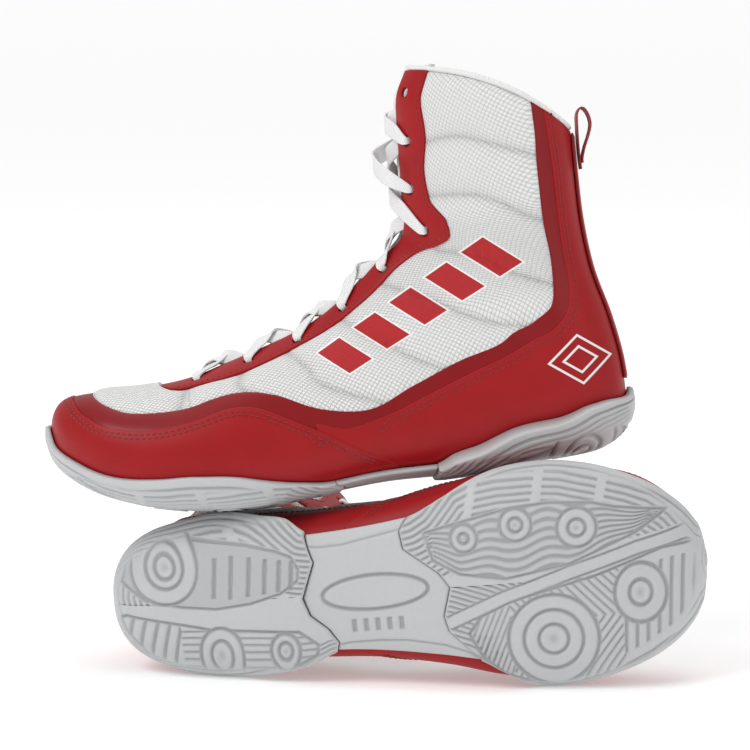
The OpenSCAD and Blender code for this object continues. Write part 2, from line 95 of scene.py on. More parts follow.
def section(u, p):
    """Floor point, rise to the crest, widest share m, power n, q = |sin p|^(2/n) and share a of the rise: m (1 - q)
    below the widest line, m + (1 - m) q above."""
    b, m = along(FLOOR, u), along(WIDEST, u)
    n = np.where(p < 0, along(LOW, u), along(HIGH, u))
    q = np.abs(np.sin(p))**(2/n)
    return b, along(CREST, u) - b, m, n, q, np.where(p < 0, m*(1 - q), m + (1 - m)*q)


def raw(u, p, s):
    """Skin point: floor + a (crest - floor), y = w cos(p)^(2/n); p is girth angle in radians."""
    b, d, m, n, q, a = section(u, p)
    bow = along(BOW, u)*4*a*(1 - a)/(np.linalg.norm(d, axis=-1) + 1e-6)
    y = along(MIDDLE, u) + s*half(u, s)*np.maximum(np.cos(p), 0)**(2/n)
    return np.stack([b[..., 0] + a*d[..., 0] - bow*d[..., 1], y, b[..., 1] + a*d[..., 1] + bow*d[..., 0]], -1)


def normal(u, p, s):
    """Outward normal: cross product of the run along the stations and the tangent of the section, turned to +X at
    the toe's tip."""
    b, d, m, n, q, a = section(u, p)
    l = np.linalg.norm(d, axis=-1) + 1e-6
    w = along(BOW, u)*4*(1 - 2*a)/l
    e = np.stack([d[..., 0] - w*d[..., 1], 0*l, d[..., 1] + w*d[..., 0]], -1)/l[..., None]
    fq = np.sign(p)*q**(n - 1)/(np.where(p < 0, m, 1 - m)*l)
    fy = (np.maximum(np.cos(p), 0)**(2/n))**(n - 1)/np.maximum(half(u, s), .5)
    run = raw(u + .02, p, s) - raw(np.maximum(u - .02, 0), p, s)
    v = unit(np.cross(run, e*fy[..., None] - np.stack([0*fq, s*fq, 0*fq], -1)))
    g = e*fq[..., None] + np.stack([0*fy, s*fy, 0*fy], -1)
    v = np.where(((v*g).sum(-1) < 0)[..., None], -v, v)
    w = ease(u/.5)[..., None]
    return unit(w*v + (1 - w)*np.array([1.0, 0, 0]))


def girth(u, a):
    """Girth angle of a point a share of the way from floor to crest."""
    m = along(WIDEST, u)
    lo = -np.arcsin(np.clip(1 - a/m, 0, 1)**(along(LOW, u)/2))
    hi = np.arcsin(np.clip((a - m)/(1 - m), 0, 1)**(along(HIGH, u)/2))
    return np.where(a < m, lo, hi)


def off(u, s, y):
    """Girth angle on the upper half at y millimetres off the centre line."""
    return np.arccos(np.clip(y/half(u, s), 0, 1)**(along(HIGH, u)/2))


def ease(x):
    """3x^2 - 2x^3 between 0 and 1."""
    x = np.clip(x, 0, 1)
    return x*x*(3 - 2*x)


def curve(table):
    """Smooth monotone-ish curve through (u, value) pairs: cubic Hermite with central slopes."""
    x, y = np.array(table, float).T
    m = np.gradient(y, x)
    sec = np.diff(y)/np.diff(x)
    lim = 2.2*np.minimum(np.abs(np.append(sec, sec[-1])), np.abs(np.append(sec[0], sec)))
    m = np.clip(m, -lim, lim)

    def f(u):
        u = np.clip(u, x[0], x[-1])
        i = np.clip(np.searchsorted(x, u, side="right") - 1, 0, len(x) - 2)
        h = x[i + 1] - x[i]
        t = (u - x[i])/h
        return ((2*t**3 - 3*t**2 + 1)*y[i] + (t**3 - 2*t**2 + t)*h*m[i] + (3*t**2 - 2*t**3)*y[i + 1]
            + (t**3 - t**2)*h*m[i + 1])
    return f


fox_a = curve([[2.2,1],[2.4,.86],[2.8,.73],[3.4,.66],[4.4,.65],[5.2,.68],[5.8,.69],[6.3,.65],[7,.48],[7.3,.39],
    [8,.14],[8.3,.05]])
rear_a = curve([[7.2,.44],[7.3,.43],[7.8,.34],[8.3,.35],[9,.39],[10.2,.42],[11,.43],[11.8,.4],[12.6,.32],[13.4,.24],
    [14.2,.19],[15.4,.152],[16.6,.145],[18,.19]])
film_a = curve([[2.8,1],[3,.93],[3.4,.85],[4.1,.8],[5,.79],[5.5,.8],[6.2,.77],[6.8,.68],[7.5,.5],[8.1,.415],[9,.46],
    [10,.48],[11.2,.482],[12.3,.413],[13.2,.32],[14.2,.266],[15,.24],[17,.238],[18,.27]])
stay_a = curve([[4.4,1],[4.7,.958],[5.2,.94],[6,.905],[6.7,.9],[7.6,.912],[9,.912],[10.8,.922],[11.5,.893],
    [12.3,.828],[13,.776],[13.5,.785],[13.8,.855],[14.7,.865],[16,.845],[17.3,.87],[18,.87]])
throat = curve([[4.9,1.5],[5.5,6],[7,8],[8.6,6.8],[10,6.8],[12.4,12],[14,11.5],[16,12.5],[18.4,12]])
last_d = curve([[0,-30],[1.2,-42],[3,-50],[6,-54],[11,-56],[11.8,-66],[12.5,-89],[18,-89]])
TOP, FOOT = np.pi/2, -np.pi/2
AWAY = 99  # stands for no edge near, in millimetres


def lasting(u):
    """Girth angle of the edge where the upper is turned under the foot."""
    return np.radians(last_d(u))


def fox_edge(u):
    """Upper edge of the front guard; it runs over the toe before station 2.2."""
    return np.where(u <= 2.2, TOP, girth(u, fox_a(u)))


def rear_edge(u):
    """Upper edge of the rear foxing."""
    return girth(u, rear_a(u))


def wrap_edge(u):
    """Upper edge of whichever red wrap lies at station u."""
    return np.where(u < 7.28, fox_edge(u), rear_edge(u))


def film_edge(u):
    """Upper edge of the glossy film band."""
    return np.where(u <= 2.8, TOP, girth(u, film_a(u)))


def stay_edge(u):
    """Edge of the eyestay where it meets the mesh."""
    return np.where(u <= 4.4, TOP, girth(u, stay_a(u)))


def lip(u, s):
    """Throat edge of the eyestay."""
    return off(u, s, throat(u))


def turn(axis, deg):
    """Rotation matrix about one axis, in degrees."""
    return np.array(Matrix.Rotation(math.radians(deg), 3, axis))


PLACE = {
    "left": (turn("X", -6) @ turn("Y", -8.3) @ turn("Z", 180), np.array([136.1, -42.5, 109.8])),
    "right": (turn("Z", -8) @ turn("Y", -5.4) @ turn("X", -.6) @ turn("X", -90) @ np.diag([1, -1, 1.]),
        np.array([-135.1, -84.2, 36.2]))}


def world(side, p):
    """Boot-frame millimetres to row-frame metres."""
    r, t = PLACE[side]
    return (p @ r.T + t)/1000


def make(name, v, quads, material, slot, nodes, body="boot", extra=None, weld=False, padded=None):
    """One mesh per boot from boot-frame points and quads (a repeated last index is a triangle). Stores the
    boot-frame point of each vertex."""
    for side in ("left", "right"):
        q = quads if side == "left" else quads[:, ::-1]
        tri = (q[:, 3] == q[:, 2]) | (q[:, 0] == q[:, 3]) | (q[:, 0] == q[:, 1]) | (q[:, 1] == q[:, 2])
        big, small = q[~tri], q[tri]
        if len(small):
            small = np.array([list(dict.fromkeys(r)) for r in small.tolist() if len(set(r)) == 3], int).reshape(-1, 3)
        loops = np.concatenate([big.ravel(), small.ravel()]).astype(np.int32)
        size = np.concatenate([np.full(len(big), 4), np.full(len(small), 3)]).astype(np.int32)
        me = bpy.data.meshes.new(f"{side}_{name}")
        me.vertices.add(len(v)); me.vertices.foreach_set("co", world(side, v).astype(np.float32).ravel())
        me.loops.add(len(loops)); me.loops.foreach_set("vertex_index", loops)
        me.polygons.add(len(size)); me.polygons.foreach_set("loop_start", (np.cumsum(size) - size).astype(np.int32))
        me.update(calc_edges=True)
        for key, val in {"boot": v, **(extra or {})}.items():
            kind, field = ("FLOAT_VECTOR", "vector") if val.ndim > 1 else ("FLOAT", "value")
            me.attributes.new(key, kind, "POINT").data.foreach_set(field, val.astype(np.float32).ravel())
        me.validate()
        if weld:
            bm = bmesh.new(); bm.from_mesh(me)
            bmesh.ops.remove_doubles(bm, verts=bm.verts, dist=2e-6)
            bm.to_mesh(me); bm.free()
        me.polygons.foreach_set("use_smooth", np.ones(len(me.polygons), bool))
        me.materials.append(material)
        o = bpy.data.objects.new(f"{side}_{name}_made", me)
        bpy.context.scene.collection.objects.link(o)
        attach(o, f"{side}_{body}")
        if nodes:
            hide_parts(*[f"{side}_{n}" for n in nodes])


def grid(n, m, wrap=True):
    """Quads between n rows of m points, each row closed into a ring if wrap."""
    i, j = np.meshgrid(np.arange(n - 1), np.arange(m if wrap else m - 1), indexing="ij")
    k = (j + 1) % m
    return np.stack([i*m + j, (i + 1)*m + j, (i + 1)*m + k, i*m + k], -1).reshape(-1, 4)


def fans(n, m):
    """Triangles that close the ends of n rings of m points round centre points n m and n m + 1."""
    j = np.arange(m)
    k, last = (j + 1) % m, (n - 1)*m
    return np.concatenate([np.stack([0*j + n*m, k, j, j], 1),
        np.stack([0*j + n*m + 1, last + j, last + k, last + k], 1)])


def close(outer, inner, quads, centre):
    """Joins an outer and an inner sheet into a closed shell; edges on the centre line stay open for their twin."""
    n = len(outer)
    e = np.concatenate([quads[:, [k, (k + 1) % 4]] for k in range(4)])
    e = e[e[:, 0] != e[:, 1]]
    key = np.sort(e, 1) @ np.array([n, 1])
    _, inv, cnt = np.unique(key, return_inverse=True, return_counts=True)
    b = e[cnt[inv] == 1]
    b = b[~(centre[b[:, 0]] & centre[b[:, 1]])]
    walls = np.stack([b[:, 1], b[:, 0], b[:, 0] + n, b[:, 1] + n], 1)
    return np.concatenate([outer, inner]), np.concatenate([quads, quads[:, ::-1] + n, walls])


def panel(us, lo, hi, depth, thick, sides=(1, -1), rows=40, round_mm=.5, shift=None, even=False, holes=(), hole_r=2.6,
    ends=(True, True)):
    """A closed strip of the skin between girth angles lo(u,s) and hi(u,s). depth(u,p,s,point,edge) is millimetres
    below the skin, thick the depth of its inner face; edges within round_mm roll over as
    d + r (1 - sqrt(1 - (1 - e/r)^2)). even spaces the rows by arc length; holes are (u, p) centres of punched
    holes; ends says whether the first and last stations are edges."""
    vs, qs, base, edges = [], [], 0, []
    rim = np.array([.1, .25, .5, .9])*max(round_mm, .3)
    for s in sides:
        a, b = lo(us, s), hi(us, s)
        test = raw(us[:, None] + np.zeros(9), a[:, None] + (b - a)[:, None]*np.linspace(0, 1, 9), s)
        length = np.linalg.norm(np.diff(test, axis=1), axis=2).sum(1) + 1e-6
        f = np.minimum(rim[None]/length[:, None], .04*np.arange(1, 5)[None])
        mid = np.linspace(0, 1, rows - 8)[1:-1]
        inner_t = f[:, -1:] + (1 - 2*f[:, -1:])*mid[None]
        t = np.concatenate([0*f[:, :1], f, inner_t, 1 - f[:, ::-1], 0*f[:, :1] + 1], 1)
        u = us[:, None] + 0*t
        p = a[:, None] + (b - a)[:, None]*t
        if even:
            fine = a[:, None] + (b - a)[:, None]*np.linspace(0, 1, 500)**3
            arc = np.linalg.norm(np.diff(raw(us[:, None] + 0*fine, fine, s), axis=1), axis=2)
            arc = np.concatenate([0*arc[:, :1], np.cumsum(arc, 1)], 1)
            p = np.array([np.interp(t[i]*arc[i, -1], arc[i], fine[i]) for i in range(len(us))])
        if shift:
            u, p = shift(u, p, s)
        pt = raw(u, p, s)
        g = np.concatenate([np.zeros((len(us), 1)), np.cumsum(np.linalg.norm(np.diff(pt, axis=1), axis=2), 1)], 1)
        r = np.concatenate([np.zeros((1, g.shape[1])), np.cumsum(np.linalg.norm(np.diff(pt, axis=0), axis=2), 0)], 0)
        open_lo, open_hi = (a <= FOOT + 1e-4)[:, None], (b >= TOP - 1e-4)[:, None]
        e = np.minimum(np.where(open_lo, AWAY, g), np.where(open_hi, AWAY, g[:, -1:] - g))
        e = np.minimum(e, np.minimum(r if ends[0] else AWAY, r[-1:] - r if ends[1] else AWAY))
        nrm = normal(u, p, s)
        q = grid(len(us), t.shape[1], wrap=False)
        for hu, hp in holes:
            mid, axis = raw(np.array(hu), np.array(hp), s), normal(np.array(hu), np.array(hp), s)
            d = (pt - mid).reshape(-1, 3)
            flat_d = d - (d @ axis)[:, None]*axis
            dist = np.linalg.norm(flat_d, axis=1)
            gone = np.linalg.norm(flat_d[q].mean(1), axis=1) < hole_r
            gone &= np.linalg.norm(d[q].mean(1), axis=1) < 3*hole_r
            ring = np.intersect1d(q[gone], q[~gone])
            pt.reshape(-1, 3)[ring] += flat_d[ring]*(hole_r/np.maximum(dist[ring], .1) - 1)[:, None]
            far = dist - hole_r
            far[ring] = 0
            e = np.minimum(e, np.maximum(far, 0).reshape(u.shape)
                + AWAY*(np.linalg.norm(d, axis=1) > 4*hole_r).reshape(u.shape))
            q = q[~gone]
        k = np.clip(1 - e/round_mm, 0, 1) if round_mm else 0*e
        d = depth(u, p, s, pt, e) + round_mm*(1 - np.sqrt(np.maximum(1 - k*k, 0)))
        outer, inner = pt - nrm*d[..., None], pt - nrm*np.maximum(thick, d + .2)[..., None]
        if s < 0:
            q = q[:, ::-1]
        centre = ((open_lo & (g == 0)) | (open_hi & (g == g[:, -1:]))).ravel()
        v, q = close(outer.reshape(-1, 3), inner.reshape(-1, 3), q, centre)
        keep, q = np.unique(q, return_inverse=True)
        v, q = v[keep], q.reshape(-1, 4)
        vs.append(v); qs.append(q + base); base += len(v)
        edges.append(np.concatenate([e.ravel(), 0*e.ravel()])[keep])
    return np.concatenate(vs), np.concatenate(qs), np.concatenate(edges)


def spaced(a, b, mm):
    """Stations from a to b about mm apart along the line under the foot."""
    u = np.linspace(a, b, 2000)
    g = run_along(along(FLOOR, u))
    return np.interp(np.linspace(0, g[-1], int(g[-1]/mm) + 1), g, u)


def stations(a, b, step=.045):
    """Even stations from a to b."""
    return np.linspace(a, b, max(3, int(round((b - a)/step)) + 1))


# Shared surface effects, each a node group that gives back only a height, mask or colour.
def group(name, inputs, outputs):
    """Empty shader node group with named float inputs and outputs."""
    g = bpy.data.node_groups.new(name, "ShaderNodeTree")
    for n, kind, val in inputs:
        sck = g.interface.new_socket(n, in_out="INPUT", socket_type=kind)
        if val is not None:
            sck.default_value = val
    for n, kind in outputs:
        g.interface.new_socket(n, in_out="OUTPUT", socket_type=kind)
    return g, g.nodes.new("NodeGroupInput"), g.nodes.new("NodeGroupOutput")


class Num:
    """A value in a node tree; arithmetic on it makes Math nodes."""
    def __init__(self, tree, out):
        self.tree, self.out = tree, out

    def __abs__(self):
        return op(self.tree, "ABSOLUTE", self)


for sign, kind in (("add", "ADD"), ("sub", "SUBTRACT"), ("mul", "MULTIPLY"), ("truediv", "DIVIDE")):
    setattr(Num, f"__{sign}__", lambda a, b, kind=kind: op(a.tree, kind, a, b))
    setattr(Num, f"__r{sign}__", lambda a, b, kind=kind: op(a.tree, kind, b, a))


def link(tree, a, b):
    """Joins a socket or a Num to an input."""
    tree.links.new(a.out if isinstance(a, Num) else a, b)


def op(tree, kind, *args):
    """Math node with sockets or numbers as arguments."""
    n = tree.nodes.new("ShaderNodeMath"); n.operation = kind
    for k, x in enumerate(args):
        if isinstance(x, (int, float)):
            n.inputs[k].default_value = x
        else:
            link(tree, x, n.inputs[k])
    return Num(tree, n.outputs[0])


def split(tree, vec):
    """X, Y and Z of a vector socket."""
    n = tree.nodes.new("ShaderNodeSeparateXYZ"); link(tree, vec, n.inputs[0])
    return [Num(tree, o) for o in n.outputs]


def smooth(tree, x, a, b):
    """Smooth step of x between a and b."""
    n = tree.nodes.new("ShaderNodeMapRange"); n.interpolation_type = "SMOOTHSTEP"
    link(tree, x, n.inputs["Value"])
    n.inputs["From Min"].default_value, n.inputs["From Max"].default_value = a, b
    return Num(tree, n.outputs["Result"])


# Weave group: interlaced threads on two flat coordinates in millimetres.
weave, gi, go = group("weave", [("Place", "NodeSocketVector", None), ("Pitch", "NodeSocketFloat", 1.6),
    ("Turn", "NodeSocketFloat", .785)], [("Height", "NodeSocketFloat"), ("Gap", "NodeSocketFloat")])
x, y, z = split(weave, gi.outputs["Place"])
ca, sa = (op(weave, kind, gi.outputs["Turn"]) for kind in ("COSINE", "SINE"))
ra, rb = (x*ca + y*sa)/gi.outputs["Pitch"], (y*ca - x*sa)/gi.outputs["Pitch"]
wa, wb = (abs(op(weave, "SINE", r*math.pi)) for r in (ra, rb))
cell = op(weave, "POWER", wa*wb, .5)
over = op(weave, "SINE", (op(weave, "FLOOR", ra) + op(weave, "FLOOR", rb))*(math.pi/2))*.12
link(weave, cell + over, go.inputs["Height"])
link(weave, 1 - cell, go.inputs["Gap"])

# Grain group: fine pebble of coated synthetic leather, from object coordinates.
grain, gi, go = group("grain", [("Size", "NodeSocketFloat", 900.0)],
    [("Height", "NodeSocketFloat"), ("Mottle", "NodeSocketFloat")])
tc = grain.nodes.new("ShaderNodeTexCoord")
vo = grain.nodes.new("ShaderNodeTexVoronoi"); vo.feature = "SMOOTH_F1"
no = grain.nodes.new("ShaderNodeTexNoise")
no.inputs["Scale"].default_value, no.inputs["Detail"].default_value = 55, 4
for a, b in ((tc.outputs["Object"], vo.inputs["Vector"]), (gi.outputs["Size"], vo.inputs["Scale"]),
        (tc.outputs["Object"], no.inputs["Vector"]), (vo.outputs["Distance"], go.inputs["Height"]),
        (no.outputs[0], go.inputs["Mottle"])):
    link(grain, a, b)


def material(name, colour, rough, spec=.5, sheen=0, coat=0):
    """Principled material with constants on its own sockets."""
    m = bpy.data.materials.new(name); m.use_nodes = True
    b = m.node_tree.nodes["Principled BSDF"]
    b.inputs["Base Color"].default_value = (*colour, 1)
    b.inputs["Roughness"].default_value = rough
    b.inputs["Specular IOR Level"].default_value = spec
    b.inputs["Sheen Weight"].default_value = sheen
    b.inputs["Sheen Roughness"].default_value = .6
    b.inputs["Coat Weight"].default_value = coat
    b.inputs["Coat Roughness"].default_value = .25
    return m, m.node_tree, b


def bump(t, b, height, distance, strength=1.0):
    """Bump node on the material's normal, distance in metres."""
    n = t.nodes.new("ShaderNodeBump")
    n.inputs["Distance"].default_value, n.inputs["Strength"].default_value = distance, strength
    link(t, height, n.inputs["Height"])
    link(t, n.outputs[0], b.inputs["Normal"])


def mixed(t, fac, a, c):
    """Colour mix of two constants or sockets."""
    n = t.nodes.new("ShaderNodeMix"); n.data_type = "RGBA"
    if isinstance(fac, (int, float)):
        n.inputs[0].default_value = fac
    else:
        link(t, fac, n.inputs[0])
    for sck, x in ((n.inputs[6], a), (n.inputs[7], c)):
        if isinstance(x, tuple):
            sck.default_value = (*x, 1)
        else:
            link(t, x, sck)
    return n.outputs[2]


def used(t, g, **inputs):
    """A group node with inputs set."""
    n = t.nodes.new("ShaderNodeGroup"); n.node_tree = g
    for k, x in inputs.items():
        if isinstance(x, (int, float)):
            n.inputs[k].default_value = x
        else:
            link(t, x, n.inputs[k])
    return n


def attribute(t, name):
    """Attribute node."""
    n = t.nodes.new("ShaderNodeAttribute"); n.attribute_name = name
    return n


# Smooth coated synthetic leather, deep red. The heel's is the same, with a plain white
# diamond outline printed on it.
RED, DEEP_RED, LIGHT_RED = (.33, .009, .011), (.30, .008, .010), (.36, .010, .013)
red_leather, t, b = material("red_leather", RED, .42, .2)
g = used(t, grain, Size=1300.0)
link(t, mixed(t, g.outputs["Mottle"], DEEP_RED, LIGHT_RED), b.inputs["Base Color"])
bump(t, b, g.outputs["Height"], .00012, .35)

heel_leather, t, b = material("heel_leather", RED, .42, .2)
g = used(t, grain, Size=1300.0)
x, y, z = split(t, attribute(t, "boot").outputs["Vector"])
dia = abs((x - 26)/17) + abs((z - 52)/13)
printed = op(t, "MAXIMUM", *(1 - smooth(t, abs(dia - at), .045, .065) for at in (.93, .5)))
link(t, mixed(t, printed, mixed(t, g.outputs["Mottle"], DEEP_RED, LIGHT_RED), (.80, .78, .77)),
    b.inputs["Base Color"])
bump(t, b, printed*1.5 + g.outputs["Height"], .00014, .35)

# Glossy welded film, a darker red than the leather.
red_film, t, b = material("red_film", (.20, .004, .007), .38, .2, coat=.1)
g = used(t, grain, Size=500.0)
link(t, mixed(t, g.outputs["Mottle"], (.20, .004, .006), (.26, .006, .009)), b.inputs["Base Color"])
bump(t, b, g.outputs["Height"], .00008, .2)

# White mesh cloth: a coarse diagonal weave on coordinates that follow the boot's side
# below the ankle and its front above, with a row of plain red slashes printed on it and painted shade along the
# quilting lines.
mesh_cloth, t, b = material("mesh_cloth", (.84, .84, .83), .8, .3, sheen=.15)
w = used(t, weave, Place=attribute(t, "cloth").outputs["Vector"], Pitch=2.0, Turn=.62)
x, y, z = split(t, attribute(t, "boot").outputs["Vector"])
dx, dz = 152 - x, z - 66
run, side = dx*.901 + dz*.433, dz*.901 - dx*.433
lean, tall = run + side*.45, run*.02 + 8.5
bar = abs(op(t, "FRACT", lean/22) - .5)
inside, edge = (
    (1 - smooth(t, bar, wide, wide + .01))*(1 - smooth(t, abs(side) - tall, low, high))
    * (op(t, "GREATER_THAN", lean, end)*op(t, "LESS_THAN", lean, 110 - end))
    for wide, low, high, end in ((.295, -.1, .1, 1), (.335, .8, 1, 0)))
cloth = mixed(t, smooth(t, w.outputs["Gap"], .35, 1), (.83, .83, .82), (.60, .60, .60))
# Painted shade: the cloth is darkened to grey near each quilting line, standing in for the shade in the channels.
cloth = mixed(t, op(t, "MULTIPLY", attribute(t, "seam").outputs["Fac"], .6), cloth, (.40, .40, .40))
rim = mixed(t, edge, cloth, (.88, .88, .87))
link(t, mixed(t, inside, rim, (.43, .013, .017)), b.inputs["Base Color"])
bump(t, b, (1 - edge*.75)*w.outputs["Height"] + edge*.9, .0007, .9)

# Plain cloths: tongue and collar knit, lining, lace and the heel webbing share one maker
# of woven cloth with its own pitch and colour.
def cloth_material(name, colour, dark, pitch, depth, turn_by=.785, rough=.85):
    """Woven cloth material on the piece's own flat coordinates."""
    m, t, b = material(name, colour, rough, .25, sheen=.2)
    w = used(t, weave, Place=attribute(t, "cloth").outputs["Vector"], Pitch=pitch, Turn=turn_by)
    link(t, mixed(t, smooth(t, w.outputs["Gap"], .4, .95), colour, dark), b.inputs["Base Color"])
    bump(t, b, w.outputs["Height"], depth, .7)
    return m


knit = cloth_material("knit", (.84, .84, .83), (.6, .6, .6), .9, .0002)
lining_cloth = cloth_material("lining_cloth", (.70, .70, .70), (.5, .5, .5), .8, .00015)
lace_cloth = cloth_material("lace_cloth", (.86, .86, .86), (.6, .6, .6), .95, .00022, .55)
webbing = cloth_material("webbing", (.36, .012, .016), (.16, .005, .007), 1.1, .0003, 0.0, .7)
footbed_cloth = cloth_material("footbed_cloth", (.08, .08, .085), (.04, .04, .04), .8, .0001)
foam_stuff = cloth_material("foam", (.78, .74, .6), (.66, .62, .5), .6, .0001)
board_stuff = cloth_material("board", (.5, .42, .3), (.42, .35, .25), 1.2, .0001)
stiff_stuff = cloth_material("stiffener", (.55, .55, .52), (.5, .5, .48), 2, .00005)
thread, t, b = material("thread", (.20, .006, .009), .6, .3, sheen=.2)


def cloth_place(v):
    """Flat cloth coordinates in mm: (x - |y| w, z - |y| (1 - w)), w rising from 0 below the ankle to 1 up the
    shaft."""
    w = ease((v[:, 2] - 85)/50)
    return np.stack([v[:, 0] - np.abs(v[:, 1])*w, v[:, 2] - np.abs(v[:, 1])*(1 - w), 0*w], 1)


def flat(d):
    """Constant depth."""
    return lambda u, p, s, pt, e: d + 0*u


def add(name, built, stuff, slot, nodes=None, **kw):
    """Makes a piece from panel() output, with its cloth coordinates and, on quilted cloth, how near a seam is, as the
    mask of the painted shade in the quilting channels.
    """
    v, q, e = built
    kw.setdefault("extra", {})["cloth"] = cloth_place(v)
    if slot == "white_mesh":
        # Nearness to the quilting lines, the mask of the painted shade in the channels.
        kw["extra"]["seam"] = np.exp(-channel_gap(v)/1.3)
    return make(name, v, q, stuff, slot, [name] if nodes is None else nodes, **kw)


def both(f):
    """Wraps a one-argument edge as lo(u, s)."""
    return lambda u, s: f(u)


under, crest = both(lambda u: FOOT + 0*u), both(lambda u: TOP + 0*u)
heel_low = both(lambda u: np.where(u > 12.4, FOOT, lasting(u)))
in_lining, in_foam = (flat(5.1), 6.0), (flat(2.45), 4.8)

# Lining: the cloth bag next to the foot, cut in a vamp part and a quarter part, sewn
# at the instep and turned over the collar edge.
add("vamp_lining", panel(stations(1.2, 5, .06), both(lasting), both(lambda u: stay_edge(u) - .006*(u > 4.4)),
    *in_lining, rows=40), lining_cloth, "lining_cloth", weld=True)
add("quarter_lining", panel(stations(5.03, 18, .1), heel_low, both(lambda u: stay_edge(u) - .006), *in_lining,
    rows=44), lining_cloth, "lining_cloth", ["quarter_lining_outer", "quarter_lining_inner"], weld=True)

# Foam: open-cell sheets between the lining and the outer cloth, one round the collar and
# one over each ankle bone.
add("collar_foam", panel(stations(14.1, 18, .15), under, both(lambda u: stay_edge(u) - .02), *in_foam, rows=50),
    foam_stuff, "foam", weld=True, padded=.8)
for s, name in ((1, "ankle_foam_outer"), (-1, "ankle_foam_inner")):
    add(name, panel(stations(9.5, 13.5, .15), both(lambda u: rear_edge(u) + .03), both(lambda u: stay_edge(u) - .02),
        *in_foam, sides=(s,), rows=40), foam_stuff, "foam", padded=.8)

# Toe puff and heel counter: thermoplastic sheets moulded under the leather to hold the
# toe and heel in shape.
add("toe_puff", panel(stations(.7, 2.2, .1), both(lasting), crest, flat(2.45), 3.8, rows=30), stiff_stuff,
    "stiffener", weld=True)
add("heel_counter", panel(stations(9.5, 13.5, .12), heel_low, both(lambda u: rear_edge(u) - .02), flat(2.45), 4.2,
    rows=30), stiff_stuff, "stiffener", weld=True)

# Quilted mesh: the white cloth of the vamp and both quarters, sewn down to foam along
# curved channels so that it puffs between them.
CHANNELS = [[(90,170),(71,170.6),(52.5,163.4),(30,154)], [(91,143.4),(69,141),(56.5,136),(45,128.5),(31,121)],
    [(89,116),(68,109.4),(54,100),(32,90)],
    [(118,103),(92,90),(80,83),(65,76),(44,71)], [(142,89),(124,76),(108.6,65),(92,56)],
        [(170,76),(161,67),(157,60),(146,53.5),(127,45)],
    [(194,70),(196,64),(192,59)], [(222,68),(227,56)]]


def channel_gap(pt):
    """Distance in the side view from each point to the nearest quilting line, the lines being Catmull-Rom curves."""
    best = np.full(pt.shape[:-1], 99.0)
    for c in CHANNELS:
        c = along(np.array(c, float), np.linspace(0, len(c) - 1, 6*len(c)))
        for a, b in zip(c[:-1], c[1:]):
            d = b - a
            k = np.clip(((pt[..., 0] - a[0])*d[0] + (pt[..., 2] - a[1])*d[1])/(d @ d), 0, 1)
            best = np.minimum(best, np.hypot(pt[..., 0] - a[0] - k*d[0], pt[..., 2] - a[1] - k*d[1]))
    return best


def quilt(u, p, s, pt, e):
    """Depth of the cloth: 1.7 at most, at a seam, less a puff 3.4 (1 - exp(-(d/5)^0.95)) (1 - exp(-e/3.5)),
    with small puckers near the lines."""
    d = channel_gap(pt)
    puff = 3.4*(1 - np.exp(-(d/5)**.95))*(1 - np.exp(-e/3.5))
    pucker = .3*np.exp(-d/4)*np.sin(pt[..., 0]*1.1 + 2.1*np.sin(pt[..., 2]*.35)) + .16*np.sin(pt[..., 0]*.31
        + pt[..., 2]*.23)*np.exp(-d/14)
    return np.minimum(1.7, 1.7 - puff + pucker*(1 - np.exp(-e/3)))


add("vamp_mesh", panel(stations(2.83, 5.01, .028), both(lambda u: film_edge(u) - .02), both(stay_edge), quilt, 2.1,
    rows=54, round_mm=.3, ends=(True, False)), mesh_cloth, "white_mesh", weld=True)
for s, name in ((1, "quarter_mesh_outer"), (-1, "quarter_mesh_inner")):
    add(name, panel(stations(5.01, 18, .058), both(lambda u: film_edge(u) - .02), both(lambda u: stay_edge(u) + .012),
        quilt, 2.1, sides=(s,), rows=96, round_mm=.3, ends=(False, True)), mesh_cloth, "white_mesh", padded=.5)

# Film band: a thin glossy strip welded over the edge of the mesh, all round the boot and
# up both sides of the heel.
add("film_band", panel(stations(2.2, 18, .055), both(lambda u: wrap_edge(u) - .03), both(film_edge), flat(.55), 1.3,
    rows=15, round_mm=.3), red_film, "red_film", weld=True)

# Toe guard: the front mudguard, one piece of coated leather round the toe, its rear tips
# lying over the rear foxing on a slant.
add("toe_guard", panel(stations(.12, 8.25, .045), both(lambda u: lasting(u) + .01), both(fox_edge), lambda u, p, s,
    pt, e: -.25 + .15*ease((e - 1)/3), 1.8, rows=46, round_mm=.7), red_leather, "red_leather", weld=True)

# Rear foxing: the heel wrap, an outer and an inner half joined under the backstay.
def seam_low(u, s):
    """Lower edge of the rear foxing: tucked under the guard's slanting edge, then the lasting edge."""
    return np.where(u < 8.3, np.maximum(fox_edge(u) - .12, lasting(u) + .02), lasting(u))


for s, name in ((1, "heel_foxing_outer"), (-1, "heel_foxing_inner")):
    add(name, panel(stations(7.3, 18, .055), seam_low, both(rear_edge), lambda u, p, s, pt,
        e: .12 + .25*np.exp(-np.maximum(u - 7.3, 0)/.4), 1.9, sides=(s,), rows=40, round_mm=.6), heel_leather,
        "red_leather")

# Eyestays: the red leather strips beside the throat, scalloped where they meet the mesh,
# with nine holes punched straight through; they have no metal eyelets.
HOLES = [(5.2,.98),(6.43,.953),(7.54,.94),(8.65,.95),(9.92,.953),(12.4,.89),(13.78,.94),(15.52,.935),(17.18,.95)]
for s, name in ((1, "eyestay_outer"), (-1, "eyestay_inner")):
    add(name, panel(stations(4.42, 18, .032), both(lambda u: stay_edge(u) - .004), lambda u,
        s: TOP + (lip(u, s) - TOP)*ease((u - 4.93)/.14), flat(-.12), 1.8, sides=(s,), rows=36, round_mm=.55,
        holes=[(u, float(girth(np.array(u), a))) for u, a in HOLES]), red_leather, "red_leather")

